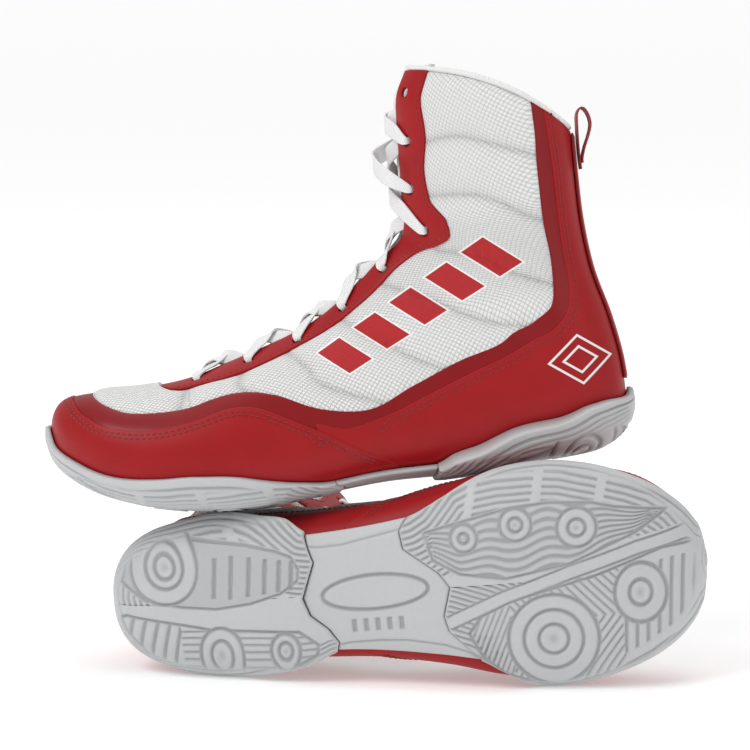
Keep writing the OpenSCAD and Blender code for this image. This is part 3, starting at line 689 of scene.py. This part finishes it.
# Tongue: one long padded piece of knitted cloth over foam, sewn in at the foot of the
# throat and loose above, standing a little above the collar.
def tongue_top(u, p, s, pt, e):
    """Depth c + (6.7 - c) (y/g)^1.3, c from 4.8 at the foot to 1, with five shallow lengthwise channels."""
    y, c = np.abs(pt[..., 1]), np.clip(1 + 4*(6.4 - u), 1, 4.8)
    ribs = .35*np.exp(-((np.abs(pt[..., 1]) % 7.5 - 3.75)/.55)**2)
    return np.minimum(6.7, c + (6.7 - c)*(y/throat(u))**1.3) + ribs + .15*np.sin(u*5.1)


add("tongue", panel(stations(5, 18.3, .09), lambda u, s: off(u, s, throat(u)*1.85), crest, tongue_top, 11.4, rows=40,
    round_mm=1.6), knit, "white_cloth", body="tongue", weld=True, padded=.7)


def swept(path, wide, thin, across, sides=20, square=.45):
    """A strip swept along a path: section x = w |cos|^k, y = t |sin|^k round each point, ends closed by fans. wide
    and thin are half sizes."""
    n = len(path)
    t = unit(np.gradient(path, axis=0))
    w = unit(across - (across*t).sum(1)[:, None]*t)
    m = np.cross(t, w)
    a = np.linspace(0, 2*np.pi, sides, endpoint=False)
    ca, sa = np.sign(np.cos(a))*np.abs(np.cos(a))**square, np.sign(np.sin(a))*np.abs(np.sin(a))**square
    v = path[:, None] + w[:, None]*(wide[:, None]*ca)[..., None] + m[:, None]*(thin[:, None]*sa)[..., None]
    run = run_along(path)
    cloth = np.concatenate([np.stack([run[:, None] + 0*ca, wide[:, None]*ca, 0*ca + 0*run[:, None]], -1).reshape(-1,
        3), np.zeros((2, 3))])
    return np.concatenate([v.reshape(-1, 3), path[:1], path[-1:]]), np.concatenate([grid(n, sides)[:, ::-1],
        fans(n, sides)]), cloth


def spot(u, p, s, d):
    """Point d millimetres below the skin."""
    u, p = np.array(u, float), np.array(p, float)
    return raw(u, p, s) - normal(u, p, s)*np.array(d, float)[..., None]


# Collar binding: a folded strip of the white knit that rolls over the top edge of the
# mesh, foam and lining, from one eyestay round the heel to the other.
rings, sides = 181, 22
t = np.linspace(-1, 1, rings)
p_end = float(lip(np.array(18.0), 1)) - .09
p_of = FOOT + np.abs(t)**1.15*(p_end - FOOT)
a = np.linspace(0, 2*np.pi, sides, endpoint=False)
rim_u, rim_d = 18.07 + .085*np.sin(a), 2.7 + 3.0*np.cos(a) + .25*np.sin(a)
ring = np.array([spot(rim_u, np.full(sides, pp), ss, rim_d + .12*np.sin(40*pp)) for pp,
    ss in zip(p_of, np.where(t < 0, -1, 1))])
v = np.concatenate([ring.reshape(-1, 3), ring[0].mean(0)[None], ring[-1].mean(0)[None]])
q = np.concatenate([grid(rings, sides)[:, [0, 3, 2, 1]], fans(rings, sides)])
make("collar_binding", v, q, knit, "white_cloth", ["collar_binding"], extra={"cloth": cloth_place(v)})

# Backstay: a straight strip of ribbed webbing sewn up the back seam.
def web_edge(u, s):
    """Girth angle ten millimetres off the back seam."""
    return -np.arccos(np.clip(10/half(u, s), 0, 1)**(along(LOW, u)/2))


v, q, e = panel(stations(12.7, 17.9, .06), under, web_edge, flat(-1.75), -.35, rows=26, round_mm=.5, even=True)
make("backstay", v, q, webbing, "red_webbing", ["backstay"], weld=True,
    extra={"cloth": np.stack([v[:, 2], v[:, 1], 0*v[:, 0]], 1)})

# Pull loop: the same webbing folded over on itself at the top of the back seam and sewn
# down at its foot, so that a finger goes through it.
loop = np.array([(10.7,146),(10.7,152),(10.3,160),(9.6,168),(9,173),(7.7,175.7),(6,176.5),(4.4,175.1),(3,171.4),
    (2.9,167.2),(4.6,162.4),(7.4,156.6),(9.2,151.5),(9.5,149)])
c = along(loop, np.linspace(0, 13, 105))
path = np.stack([c[:, 0], 0*c[:, 0], c[:, 1]], 1)
v, q, cloth = swept(path, np.full(105, 9.8), np.full(105, .5), np.tile([0., 1, 0], (105, 1)), sides=24, square=.3)
make("pull_loop", v, q, webbing, "red_webbing", ["pull_loop"], body="pull_loop", extra={"cloth": cloth})

# Under the foot: fibre insole board that the upper is turned under and stuck to, foam
# midsole on it and a loose cloth-topped footbed.
add("insole_board", panel(stations(1.2, 11.5, .1), under, both(lambda u: lasting(u) - .006), flat(.12), 1.8, rows=30,
    even=True), board_stuff, "board", weld=True)
add("midsole", panel(stations(1.2, 11.5, .1), under, both(lambda u: lasting(u) - .04), *in_foam, rows=30, even=True),
    foam_stuff, "foam", weld=True)
add("footbed", panel(stations(1.8, 11.1, .1), under, both(lambda u: lasting(u) - .157), flat(5.5), 8.9, rows=30,
    even=True, round_mm=1), footbed_cloth, "footbed_cloth", body="footbed", weld=True, padded=.7)

# Rubber for the sole: light grey, satin, with painted shade darkening it where the tread is cut.
sole_rubber, t, b = material("sole_rubber", (.62, .63, .64), .5, .45)
no = t.nodes.new("ShaderNodeTexNoise"); no.inputs["Scale"].default_value = 420; no.inputs["Detail"].default_value = 6
tc = t.nodes.new("ShaderNodeTexCoord"); link(t, tc.outputs["Object"], no.inputs["Vector"])
cut_depth_and_shade = attribute(t, "cut_depth_and_shade").outputs["Fac"]
# Painted shade: the tread grooves are coloured darker grey according to their depth.
link(t, mixed(t, smooth(t, cut_depth_and_shade, .1, 1.1), mixed(t, no.outputs[0], (.48, .49, .50), (.53, .54, .54)), (.35, .36, .37)),
    b.inputs["Base Color"])
bump(t, b, no.outputs[0], .0001, .3)

# Outsole: cupped rubber in three pods, moulded with discs, ribs and contour grooves. The
# tread is drawn in the plan of the sole, x from the heel, y outwards.
OUTLINE = np.array([(0,1.9),(1.5,14.2),(6.3,24.1),(14.5,31.7),(24.7,36.2),(40,39.7),(56,42.2),(71,42.7),(81,40.5),
    (89.5,36.9),(97,31.9),(102,28.5),(110,27.5),(122,28.1),(138,31.1),
    (155,34.5),(161,37.7),(168,45),(173,50.6),(184,54.8),(200,57),(217,57.4),(233,55.8),(249.5,51.4),(266,45.4),
        (277,39.9),(288,30.3),(295,19.9),(300,8.7),(301,-2.3),(295,-22.7),(288,-31.8),
    (277,-39.9),(266,-46.9),(255,-51.5),(244,-55.1),(233,-56.7),(222,-57),(211,-55.7),(200,-53.3),(194,-49.6),
        (187,-43.8),(179,-37.6),(168,-33.6),(151,-30.3),(138,-29.5),(122,-29.5),(113,-30.9),
    (105,-33.5),(97,-36),(86,-37.4),(71,-38.9),(61,-40.2),(50,-40.8),(40,-39.8),(30,-37.6),(20,-31.8),(12,-24.6),
        (6,-15),(2,-6.5)])


def fence(poly, x, y, closed=True):
    """Signed distance to a polygon in plan, positive inside; plain distance to an open line."""
    a, b = poly, np.roll(poly, -1, 0)
    if not closed:
        a, b = poly[:-1], poly[1:]
    best, odd = np.full(x.shape, 1e9), np.zeros(x.shape, bool)
    for (ax, ay), (bx, by) in zip(a, b):
        dx, dy = bx - ax, by - ay
        k = np.clip(((x - ax)*dx + (y - ay)*dy)/(dx*dx + dy*dy), 0, 1)
        best = np.minimum(best, np.hypot(x - ax - k*dx, y - ay - k*dy))
        if closed:
            odd ^= ((ay > y) != (by > y)) & (x < dx*(y - ay)/(dy if dy else 1e-9) + ax)
    return np.where(odd, best, -best) if closed else best


def cut_line(d, deep=1.3, wide=.75):
    """Groove profile deep (1 - ease(d / 2w)) at distance d from its middle."""
    return deep*(1 - ease(np.abs(d)/(2*wide)))


def ruled(phase, pitch, deep=1.2, wide=.6):
    """Grooves wherever phase is a whole number of pitches."""
    return cut_line(((phase/pitch + .5) % 1 - .5)*pitch, deep, wide)


def disc(r, x, y, cx, cy, radii, squash_y=1.0):
    """A raised disc: clears the relief r within it and cuts ring grooves at the given radii."""
    d = np.hypot(x - cx, (y - cy)/squash_y)
    r = np.where(d < radii[0] + 1.2, r*ease((d - radii[0])/1.2), r)
    for k in radii:
        r = np.maximum(r, cut_line(d - k, 1.5, .75))
    return np.maximum(r, .7*(1 - ease(d/(radii[-1]*.75))))


HEEL_LENS = np.array([(11.6,10.4),(22.7,1.9),(39.8,-1.9),(57.4,-3.7),(75,-1.9),(90,2.1),(98.7,7.6),(99.9,13.2),
    (96.7,18.8),(90,21.2),(75,23.8),(49.3,25.6),(30,27),(16,22)])
HEEL_POD = np.array([(9.8,-5.8),(13,-4.8),(53,-13.1),(97.4,-16.9),(106,-23.4),(105,-27.7),(86,-32.3),(60,-33.5),
    (31,-27.9),(20,-21.1),(11.7,-11.8)])
TOE_LENS = np.array([(164.4,24.4),(167.6,13.3),(180.7,5.9),(202.4,2.2),(233,6.8),(265.8,18.6),(280,26.5),(256,31.7),
    (245.7,34.9),(225.5,36.8),(206.9,35.7),(182.7,30.6),(164.2,26.5)])
TOE_POD = np.array([(182.4,-23.7),(189.5,-15.5),(204.8,-8.8),(244,-.6),(276.8,9.2),(293,9.2),(298.5,3.3),(293,-20),
    (284,-32),(268,-41),(250,-48),(233,-51.5),(214,-50.5),(198,-44),(188,-35)])
BAND = np.array([(174.2,-17.7),(200.4,-7.4),(233,2.4),(265.8,11),(287.7,14.5),(296.5,11.2)])


def fore_tread(x, y):
    """Relief of the fore pod: lens of wavy ribs, a divided pod with two large discs, hatching and contour grooves."""
    edge, lens, pod, band = fence(OUTLINE, x, y), fence(TOE_LENS, x, y), fence(TOE_POD, x, y), fence(BAND, x, y,
        False)
    out = (lens < 0) & (y > 12 + .12*(x - 230))
    bars = np.minimum(np.minimum(np.abs(x - 188 - .25*(y - 40)), np.abs(x - 220 - .2*(y - 40))),
        np.abs(x - 250 - .25*(y - 38)))
    r = np.where(out & (edge > 1.5), ruled(edge - 1.3, 2.9, 1.15, .6)*ease((bars - 1.8)/.8)*ease((-lens - .6)/.8), 0)
    r = np.where((pod < 0) & (y < 0) & (edge > 1.2), ruled(edge - 1.2, 2.6, 1.1, .55)*ease((-pod)/.8), r)
    floor = ease(lens/.9)
    low = np.interp(x, TOE_LENS[:7, 0], TOE_LENS[:7, 1]); high = np.interp(x, TOE_LENS[6:, 0][::-1],
        TOE_LENS[6:, 1][::-1])
    v = (y - low)/np.maximum(high - low, 2)
    r = np.maximum(r, floor*(.35 + ruled(v*23 + 1.1*np.sin(x/4.6), 3.3, .95, .6)))
    r = np.maximum(r, cut_line(lens, 1.4, .6))
    f = ease(pod/.9)
    hatch = np.where(x < 203, ruled(x - .5*y, 2.9, 1.0, .55),
        np.where(x < 256, ruled(x - 244 + np.abs(y + 20)*.85, 4.2, 1.1, .65),
        ruled(x - .1*y, 5.1, 1.3, .8)*ease((pod - 4.5)/1.2)))
    r = np.maximum(r, f*hatch)
    r = np.maximum(r, cut_line(pod, 1.4, .6))
    r = np.where(band < 3.2, r*ease((band - 1.8)/1.4), r)
    r = np.maximum(r, cut_line(band - 3.2, 1.2, .5))
    for c in ((183.7, 23.1, (6.5, 2.4)), (209.1, 27.8, (7.6, 3.3)), (238.1, 24, (9.3, 4.1)),
        (222.8, -29.2, (21.6, 14.2, 7.1))):
        r = disc(r, x, y, *c)
    return disc(r, x, y, 265.3, -11.3, (12, 5.2), 1.22)


def heel_tread(x, y):
    """Relief of the heel pod: big disc, slotted lens, smooth channel, inner pod with two discs and contour
    grooves."""
    edge, lens, pod = fence(OUTLINE, x, y), fence(HEEL_LENS, x, y), fence(HEEL_POD, x, y)
    stroke = np.abs(x - 62 + .9*(y - 33))
    r = np.where((y > 0) & (edge > 1.2), ruled(edge - 1.2, 2.6, 1.1,
        .55)*ease((stroke - 2.5)/1)*ease((-lens - .6)/.8), 0)
    r = np.where((y <= 0) & (edge > 1.2) & (edge < 9), ruled(edge - 1.2, 1.9, .9, .4)*ease((-pod - .3)/.8), r)
    r = np.maximum(r, ease(lens/1)*.55)
    for k in (57.5, 66, 75, 83, 90, 96):
        d = np.maximum(np.abs(x - k - .12*(y - 10)) - .7, np.abs(y - 10.5) - 9.5 + .1*np.abs(k - 66))
        r = np.maximum(r, 1.7*(1 - ease((d + .3)/1.1)))
    r = np.maximum(r, cut_line(lens, 1.4, .6))
    f = ease(pod/.9)
    r = np.maximum(r, f*np.where(x < 38, ruled(x - .35*y, 6, 1.3, .9), ruled(y + .06*x, 2.7, 1.0, .5)))
    r = np.maximum(r, cut_line(pod, 1.4, .6))
    for c in ((32.7, 16.2, (16.4, 9.1, 4.8)), (57.8, -23.7, (11, 5.5)), (90, -24.1, (7, 3.3))):
        r = disc(r, x, y, *c)
    return r


def shank_tread(x, y):
    """Relief of the shank: a plain oval badge with a groove (h - 1) h / |grad h| from its edge, five small slots and
    a frame line."""
    c, s = math.cos(.03), math.sin(.03)
    bx, by = (x - 137)*c + (y + .5)*s, (y + .5)*c - (x - 137)*s
    h = np.hypot(bx/26.7, by/8.5) + 1e-6
    oval = (h - 1)*h/np.hypot(bx/26.7**2, by/8.5**2)
    r = cut_line(oval, 1.5, .8)
    r = np.maximum(r, cut_line(fence(OUTLINE, x, y) - 5, .9, .5)*(oval > 2))
    for k in range(5):
        d = np.maximum(np.abs(x - 125 - 6*k) - 1.1, np.abs(y + 16.5) - 3)
        r = np.maximum(r, 1.1*(1 - ease((d + .3)/.8)))
    return r


ARCH_U, BREAST_U = 6.68, 8.6  # where the shank begins and ends
tread_d, wall_d = curve([[0,3],[1,4],[2,4.5],[4,5],[5,5.5],[6,5.8],[7,4.6],[8,3.6],[8.5,5.2],[9,6],[10,6.5],[11,6.8],
    [12,5.5],[12.5,3.6]]), curve([[0,3],[1,3.2],[3,3.8],[5,4.5],[6,4.5],[7,3.5],[8.2,3.5],[8.7,6.5],[9,9],[9.6,10.4],
    [10,10.4],[10.6,9.6],[11,8],[12,5.4],[12.5,3.6]])
rim_a = curve([[0,84],[.35,80],[.8,10],[1.2,-12],[2.2,-16],[3,-18],[4.2,-11],[5,-9],[5.6,-15],[6,-27],[6.3,-38],
    [6.7,-50],[8.5,-50],[8.9,-37],[9.3,-33],[9.8,-27],[10.6,-32],[11.4,-40],[12,-58],[12.5,-89.6]])
ARCH = np.array([(-49.6,193.8),(-35.8,185.3),(-22.3,172.1),(-14.6,170.3),(-.5,174.4),(6.8,169.6),(19.5,154),
    (28.2,152.4),(34.9,156.5)])
BREAST = np.array([(-29.6,111.8),(-24.2,114.8),(-17.4,111.2),(-10.1,103.2),(-1.3,100.4),(15.7,106.7),(27.5,101.6)])


def station_at(table, p, s, first, x0, gap):
    """Station where the skin at girth angle p meets a boundary x(y): u = first + (x0 - x(y))/gap, settled in four
    turns."""
    u = np.full(p.shape, first + .6)
    for _ in range(4):
        y = raw(u, p, s)[..., 1]
        u = first + (x0 - np.interp(y, table[:, 0], table[:, 1]))/gap
    return u


def fore_shift(u, p, s):
    """Stretches the stations behind the ball so that the pod ends on its boundary."""
    end = station_at(ARCH, p, s, 6, 195, 30) - .005
    return np.where(u > 5, 5 + (u - 5)*(end - 5)/1.66, u), p


def heel_shift(u, p, s):
    """Stretches the stations before the heel seat so that the pod starts on its boundary."""
    end = station_at(BREAST, p, s, 8, 130, 40) + .004
    return np.where(u < 9.5, end + (u - BREAST_U)*(9.5 - end)/.9, u), p


def shank_shift(u, p, s):
    """Shares the shank's columns out between the two boundaries."""
    a, b = station_at(ARCH, p, s, 6, 195, 30) + .005, station_at(BREAST, p, s, 8, 130, 40) - .004
    return a + (b - a)*(u - ARCH_U)/(BREAST_U - ARCH_U), p


def pod(relief, bands, cuts):
    """Depth of a sole pod: tread thickness under the foot passing to wall thickness, less the tread cut and the wall
    bands, which go into cuts."""
    def depth(u, p, s, pt, e):
        f = np.clip((np.degrees(p) + 72)/34, 0, 1)
        down = ease((-normal(u, p, s)[..., 2] - .5)/.25)
        cut_depth_and_shade = np.maximum(relief(pt[..., 0], pt[..., 1])*down*ease(e/1.5), bands(u, p, s, pt, e)*(1 - down))
        # The cut depths are also kept as the mask of the painted shade in the grooves.
        cuts.extend([cut_depth_and_shade.ravel(), 0*cut_depth_and_shade.ravel()])
        return (-3.4 if bands is no_bands else -(tread_d(u)*(1 - f) + wall_d(u)*f)) + cut_depth_and_shade
    return depth


def fore_bands(u, p, s, pt, e):
    """Wall of the fore pod: a smooth rim, two long grooves and a row of small windows."""
    r = np.maximum(cut_line(e - 4.2, 1.1, .6), cut_line(e - 9, .8, .45))
    w = np.maximum(np.abs((pt[..., 0]/11 + .5) % 1 - .5)*11 - 3.2, np.abs(e - 13) - .8)
    return np.maximum(r, 1.0*(1 - ease((w + .4)/1))*(pt[..., 0] < 285))


def heel_bands(u, p, s, pt, e):
    """Wall of the heel pod: a smooth rim and four long grooves broken by a slanting bar."""
    x = pt[..., 0]
    bar = np.abs(x - 84 - .5*(e - 8))
    long = np.max([cut_line(e - k, .9, .45) for k in (7.5, 10.4, 13.3, 16.2)], 0)*ease((bar - 3)/1.2)*ease((x - 6)/5)
    return np.maximum(np.maximum(cut_line(e - 4.2, 1.2, .6), long), cut_line(bar - 3, .9, .4)*(e > 5))


def no_bands(u, p, s, pt, e):
    """The shank has no wall."""
    return 0*e


rim = both(lambda u: np.radians(rim_a(u)))
for name, us, upper, relief, bands, shift, rows in (
        ("outsole_forefoot", spaced(0, 6.66, .72), rim, fore_tread, fore_bands, fore_shift, 116),
        ("outsole_shank", np.linspace(ARCH_U, BREAST_U, 90), both(lambda u: np.radians(-50) + 0*u), shank_tread,
            no_bands, shank_shift, 60),
        ("outsole_heel", spaced(BREAST_U, 12.5, .72), rim, heel_tread, heel_bands, heel_shift, 116)):
    cuts = []
    v, q, e = panel(us, under, upper, pod(relief, bands, cuts), -.8, rows=rows, round_mm=1.1, shift=shift, even=True)
    make(name, v, q, sole_rubber, "sole_rubber", [name], weld=True, extra={"cut_depth_and_shade": np.concatenate(cuts)})

# Lace: one flat woven white lace, threaded from a bar under the lowest holes and crossed
# up through eight pairs; its ends are tucked under the eyestays and the top holes stay empty.
def crossing(i, s, k):
    """Control points of one crossing from hole i on side s to the next hole on the other side: point, half width,
    half thickness, width direction."""
    a, b = HOLES[i], HOLES[i + 1] if i < 7 else (16.4, .945)
    pa, pb = (float(girth(np.array(h[0]), h[1])) for h in (a, b))
    um, out = (a[0] + b[0])/2, 9 if i == 6 and s > 0 else 0
    run = lambda u, p, side: raw(np.array(u + .05), np.array(p), side) - raw(np.array(u - .05), np.array(p), side)
    o = lambda u, side, y: float(off(np.array(u), side, y))
    g, ga, gb = float(throat(um)), float(throat(a[0]*.75 + b[0]*.25)), float(throat(b[0]))
    u1, u2, u3 = a[0]*.78 + b[0]*.22, um*.5 + b[0]*.5, um*.2 + b[0]*.8
    rows = [(spot(a[0], pa, s, 1.6), 1.5, .75, run(a[0], pa, s)),
        (spot(a[0] + .02, pa + .035, s, -1.3), 2.5, .7, run(a[0], pa, s)),
        (spot(u1, o(u1, s, ga*1.05), s, -1.6 - out*.8), 4.2, .6, run(um, TOP, s)),
            (spot(um, TOP, 1, -k - out), 4.25, .6, run(um, TOP, 1)),
        (spot(u2, o(u2, -s, g*.5), -s, .7 - out*.35 - (.6 if k > 3 else 0)), 4.2, .6, run(um, TOP, 1)),
            (spot(u3, o(u3, -s, gb*.98), -s, 3.3), 3.6, .6, run(b[0], TOP, 1))]
    tail = (b[0], pb + (o(b[0], -s, gb) - pb)*.3, 3.6, 2.8, .7) if i < 7 else (b[0] + .05, pb - .05, 3.3, 4.2, .6)
    return rows + [(spot(tail[0], tail[1], -s, tail[2]), tail[3], tail[4], run(b[0], pb, -s))]


def half_route(s, k):
    """Eight crossings, changing sides each time."""
    return [row for i in range(8) for row in crossing(i, s if i % 2 == 0 else -s, k)]


p0 = float(girth(np.array(HOLES[0][0]), HOLES[0][1]))
ahead = raw(np.array(5.25), np.array(TOP), 1) - raw(np.array(5.15), np.array(TOP), 1)
bar = [(spot(5.2, p0 + (TOP - p0)*.35, -1, 3.6), 2.8, .7, ahead), (spot(5.2, TOP, 1, 3.6), 3.4, .6, ahead),
    (spot(5.2, p0 + (TOP - p0)*.35, 1, 3.6), 2.8, .7, ahead)]
route = half_route(-1, 3.5)[::-1] + bar + half_route(1, 1.7)
points, wide, thin, across = (np.array([r[k] for r in route], float) for k in range(4))
across = unit(across)
for k in range(1, len(across)):
    if across[k] @ across[k - 1] < 0:
        across[k] *= -1
f = np.linspace(0, len(points) - 1, 9*len(points))
v, q, cloth = swept(along(points, f), along(wide, f), along(thin, f), along(across, f), sides=16, square=.4)
make("lace", v, q, lace_cloth, "lace_cloth", ["lace"], extra={"cloth": cloth})


# Stitching: twin rows of dark red thread along the top edges of the guard and the rear
# foxing and beside the eyestay edge, each stitch a short sunk thread.
def stitch_row(edge, u0, u1, s, inset, pitch=3.1, lift=-.28):
    """Middles, directions and normals of stitches on the skin inset mm inside an edge p(u), toward lower girth if
    inset > 0."""
    u = np.linspace(u0, u1, 3000)
    p = edge(u)
    ru = (raw(u + .02, p, s) - raw(u - .02, p, s))/.04
    rp = (raw(u, p + .004, s) - raw(u, p - .004, s))/.008
    line = raw(u, p, s)
    side = np.cross(normal(u, p, s), unit(np.gradient(line, axis=0)))
    side *= np.where((side*rp).sum(1) > 0, -1, 1)[:, None]*inset
    a, b, c = (ru*ru).sum(1), (ru*rp).sum(1), (rp*rp).sum(1)
    d1, d2 = (side*ru).sum(1), (side*rp).sum(1)
    det = np.maximum(a*c - b*b, 1e-9)
    u2, p2 = u + (d1*c - d2*b)/det, np.minimum(p + (d2*a - d1*b)/det, TOP)
    line = spot(u2, p2, s, np.full(u.shape, lift))
    g = run_along(line)
    at = np.arange(pitch/2, g[-1], pitch)
    mid, ahead, behind = (np.stack([np.interp(at + d, g, line[:, k]) for k in range(3)], 1) for d in (0, .5, -.5))
    return mid, unit(ahead - behind), normal(np.interp(at, g, u2), np.interp(at, g, p2), s)


def stitches(rows, length=2.3, r=.36):
    """Closed thread segments: rings of radius r sqrt(1 - x^4) along each stitch, its ends dipping below the
    surface."""
    mid, t, n = (np.concatenate([row[k] for row in rows]) for k in range(3))
    side = np.cross(n, t)
    x = np.array([-1, -.82, -.4, .4, .82, 1.0])
    rad, dip = r*np.sqrt(np.clip(1 - x**4, .02, 1)), -.42*x**4
    a = np.linspace(0, 2*np.pi, 7)[:6]
    c = mid[:, None] + t[:, None]*(x*length/2)[None, :, None] + n[:, None]*dip[None, :, None]
    v = c[:, :, None] + (side[:, None, None]*np.cos(a)[None, None, :, None]
        + n[:, None, None]*np.sin(a)[None, None, :, None])*rad[None, :, None, None]
    one = np.concatenate([grid(6, 6)[:, [0, 3, 2, 1]], [[0, 5, 4, 3], [0, 3, 2, 1], [30, 31, 32, 33],
        [30, 33, 34, 35]]])
    q = (one[None] + 36*np.arange(len(mid))[:, None, None]).reshape(-1, 4)
    return v.reshape(-1, 3), q


guard, rear, stay = [], [], []
for s in (1, -1):
    for inset in (2.4, 4.6):
        guard.append(stitch_row(fox_edge, 2.21, 8.0, s, inset))
        rear.append(stitch_row(rear_edge, 8.2, 17.9, s, inset, lift=0.1))
    stay.append(stitch_row(stay_edge, 4.6, 17.9, s, -2.2, lift=-.1))
for name, rows in (("guard_stitches", guard), ("foxing_stitches", rear), ("eyestay_stitches", stay)):
    v, q = stitches(rows)
    make(name, v, q, thread, "red_leather", [])

# Studio: a flat pale paper floor, a bright even surround and three soft lamps. The floor
# glows a little more away from the boots, so that it meets the surround without a line.
floor = bpy.data.meshes.new("floor")
floor.from_pydata([(-40, -40, 0), (40, -40, 0), (40, 40, 0), (-40, 40, 0)], [], [(0, 1, 2, 3)])
paper, t, b = material("paper", (.87, .87, .87), .9, .1)
b.inputs["Emission Color"].default_value = (1, 1, 1, 1)
place = t.nodes.new("ShaderNodeTexCoord").outputs["Object"]
away = t.nodes.new("ShaderNodeVectorMath")
away.operation = "LENGTH"
link(t, place, away.inputs[0])
length = Num(t, away.outputs["Value"])
link(t, .3 + .245*(1 - 1/(length*length*.3 + 1)), b.inputs["Emission Strength"])
floor.materials.append(paper)
ground = bpy.data.objects.new("floor", floor)
bpy.context.scene.collection.objects.link(ground)

surround = bpy.data.worlds.new("surround")
surround.use_nodes = True
t = surround.node_tree
back = t.nodes["Background"]
back.inputs["Color"].default_value = (1, 1, 1, 1)
rays = t.nodes.new("ShaderNodeLightPath")
link(t, Num(t, rays.outputs["Is Camera Ray"])*.48 + .5, back.inputs["Strength"])
bpy.context.scene.world = surround
for name, place, size, watts in (("key", (-1.2, -1.1, 1.7), 1.0, 20), ("fill", (1.5, -1.2, 1.1), 1.4, 6),
    ("top", (0.1, .5, 2.1), 1.6, 13)):
    lamp = bpy.data.lights.new(name, "AREA")
    lamp.size, lamp.energy = size, watts
    o = bpy.data.objects.new(name, lamp)
    o.location = place
    o.rotation_euler = (Vector((0, -.05, .13)) - Vector(place)).to_track_quat("-Z", "Y").to_euler()
    bpy.context.scene.collection.objects.link(o)
bpy.context.scene.view_settings.view_transform = "Standard"
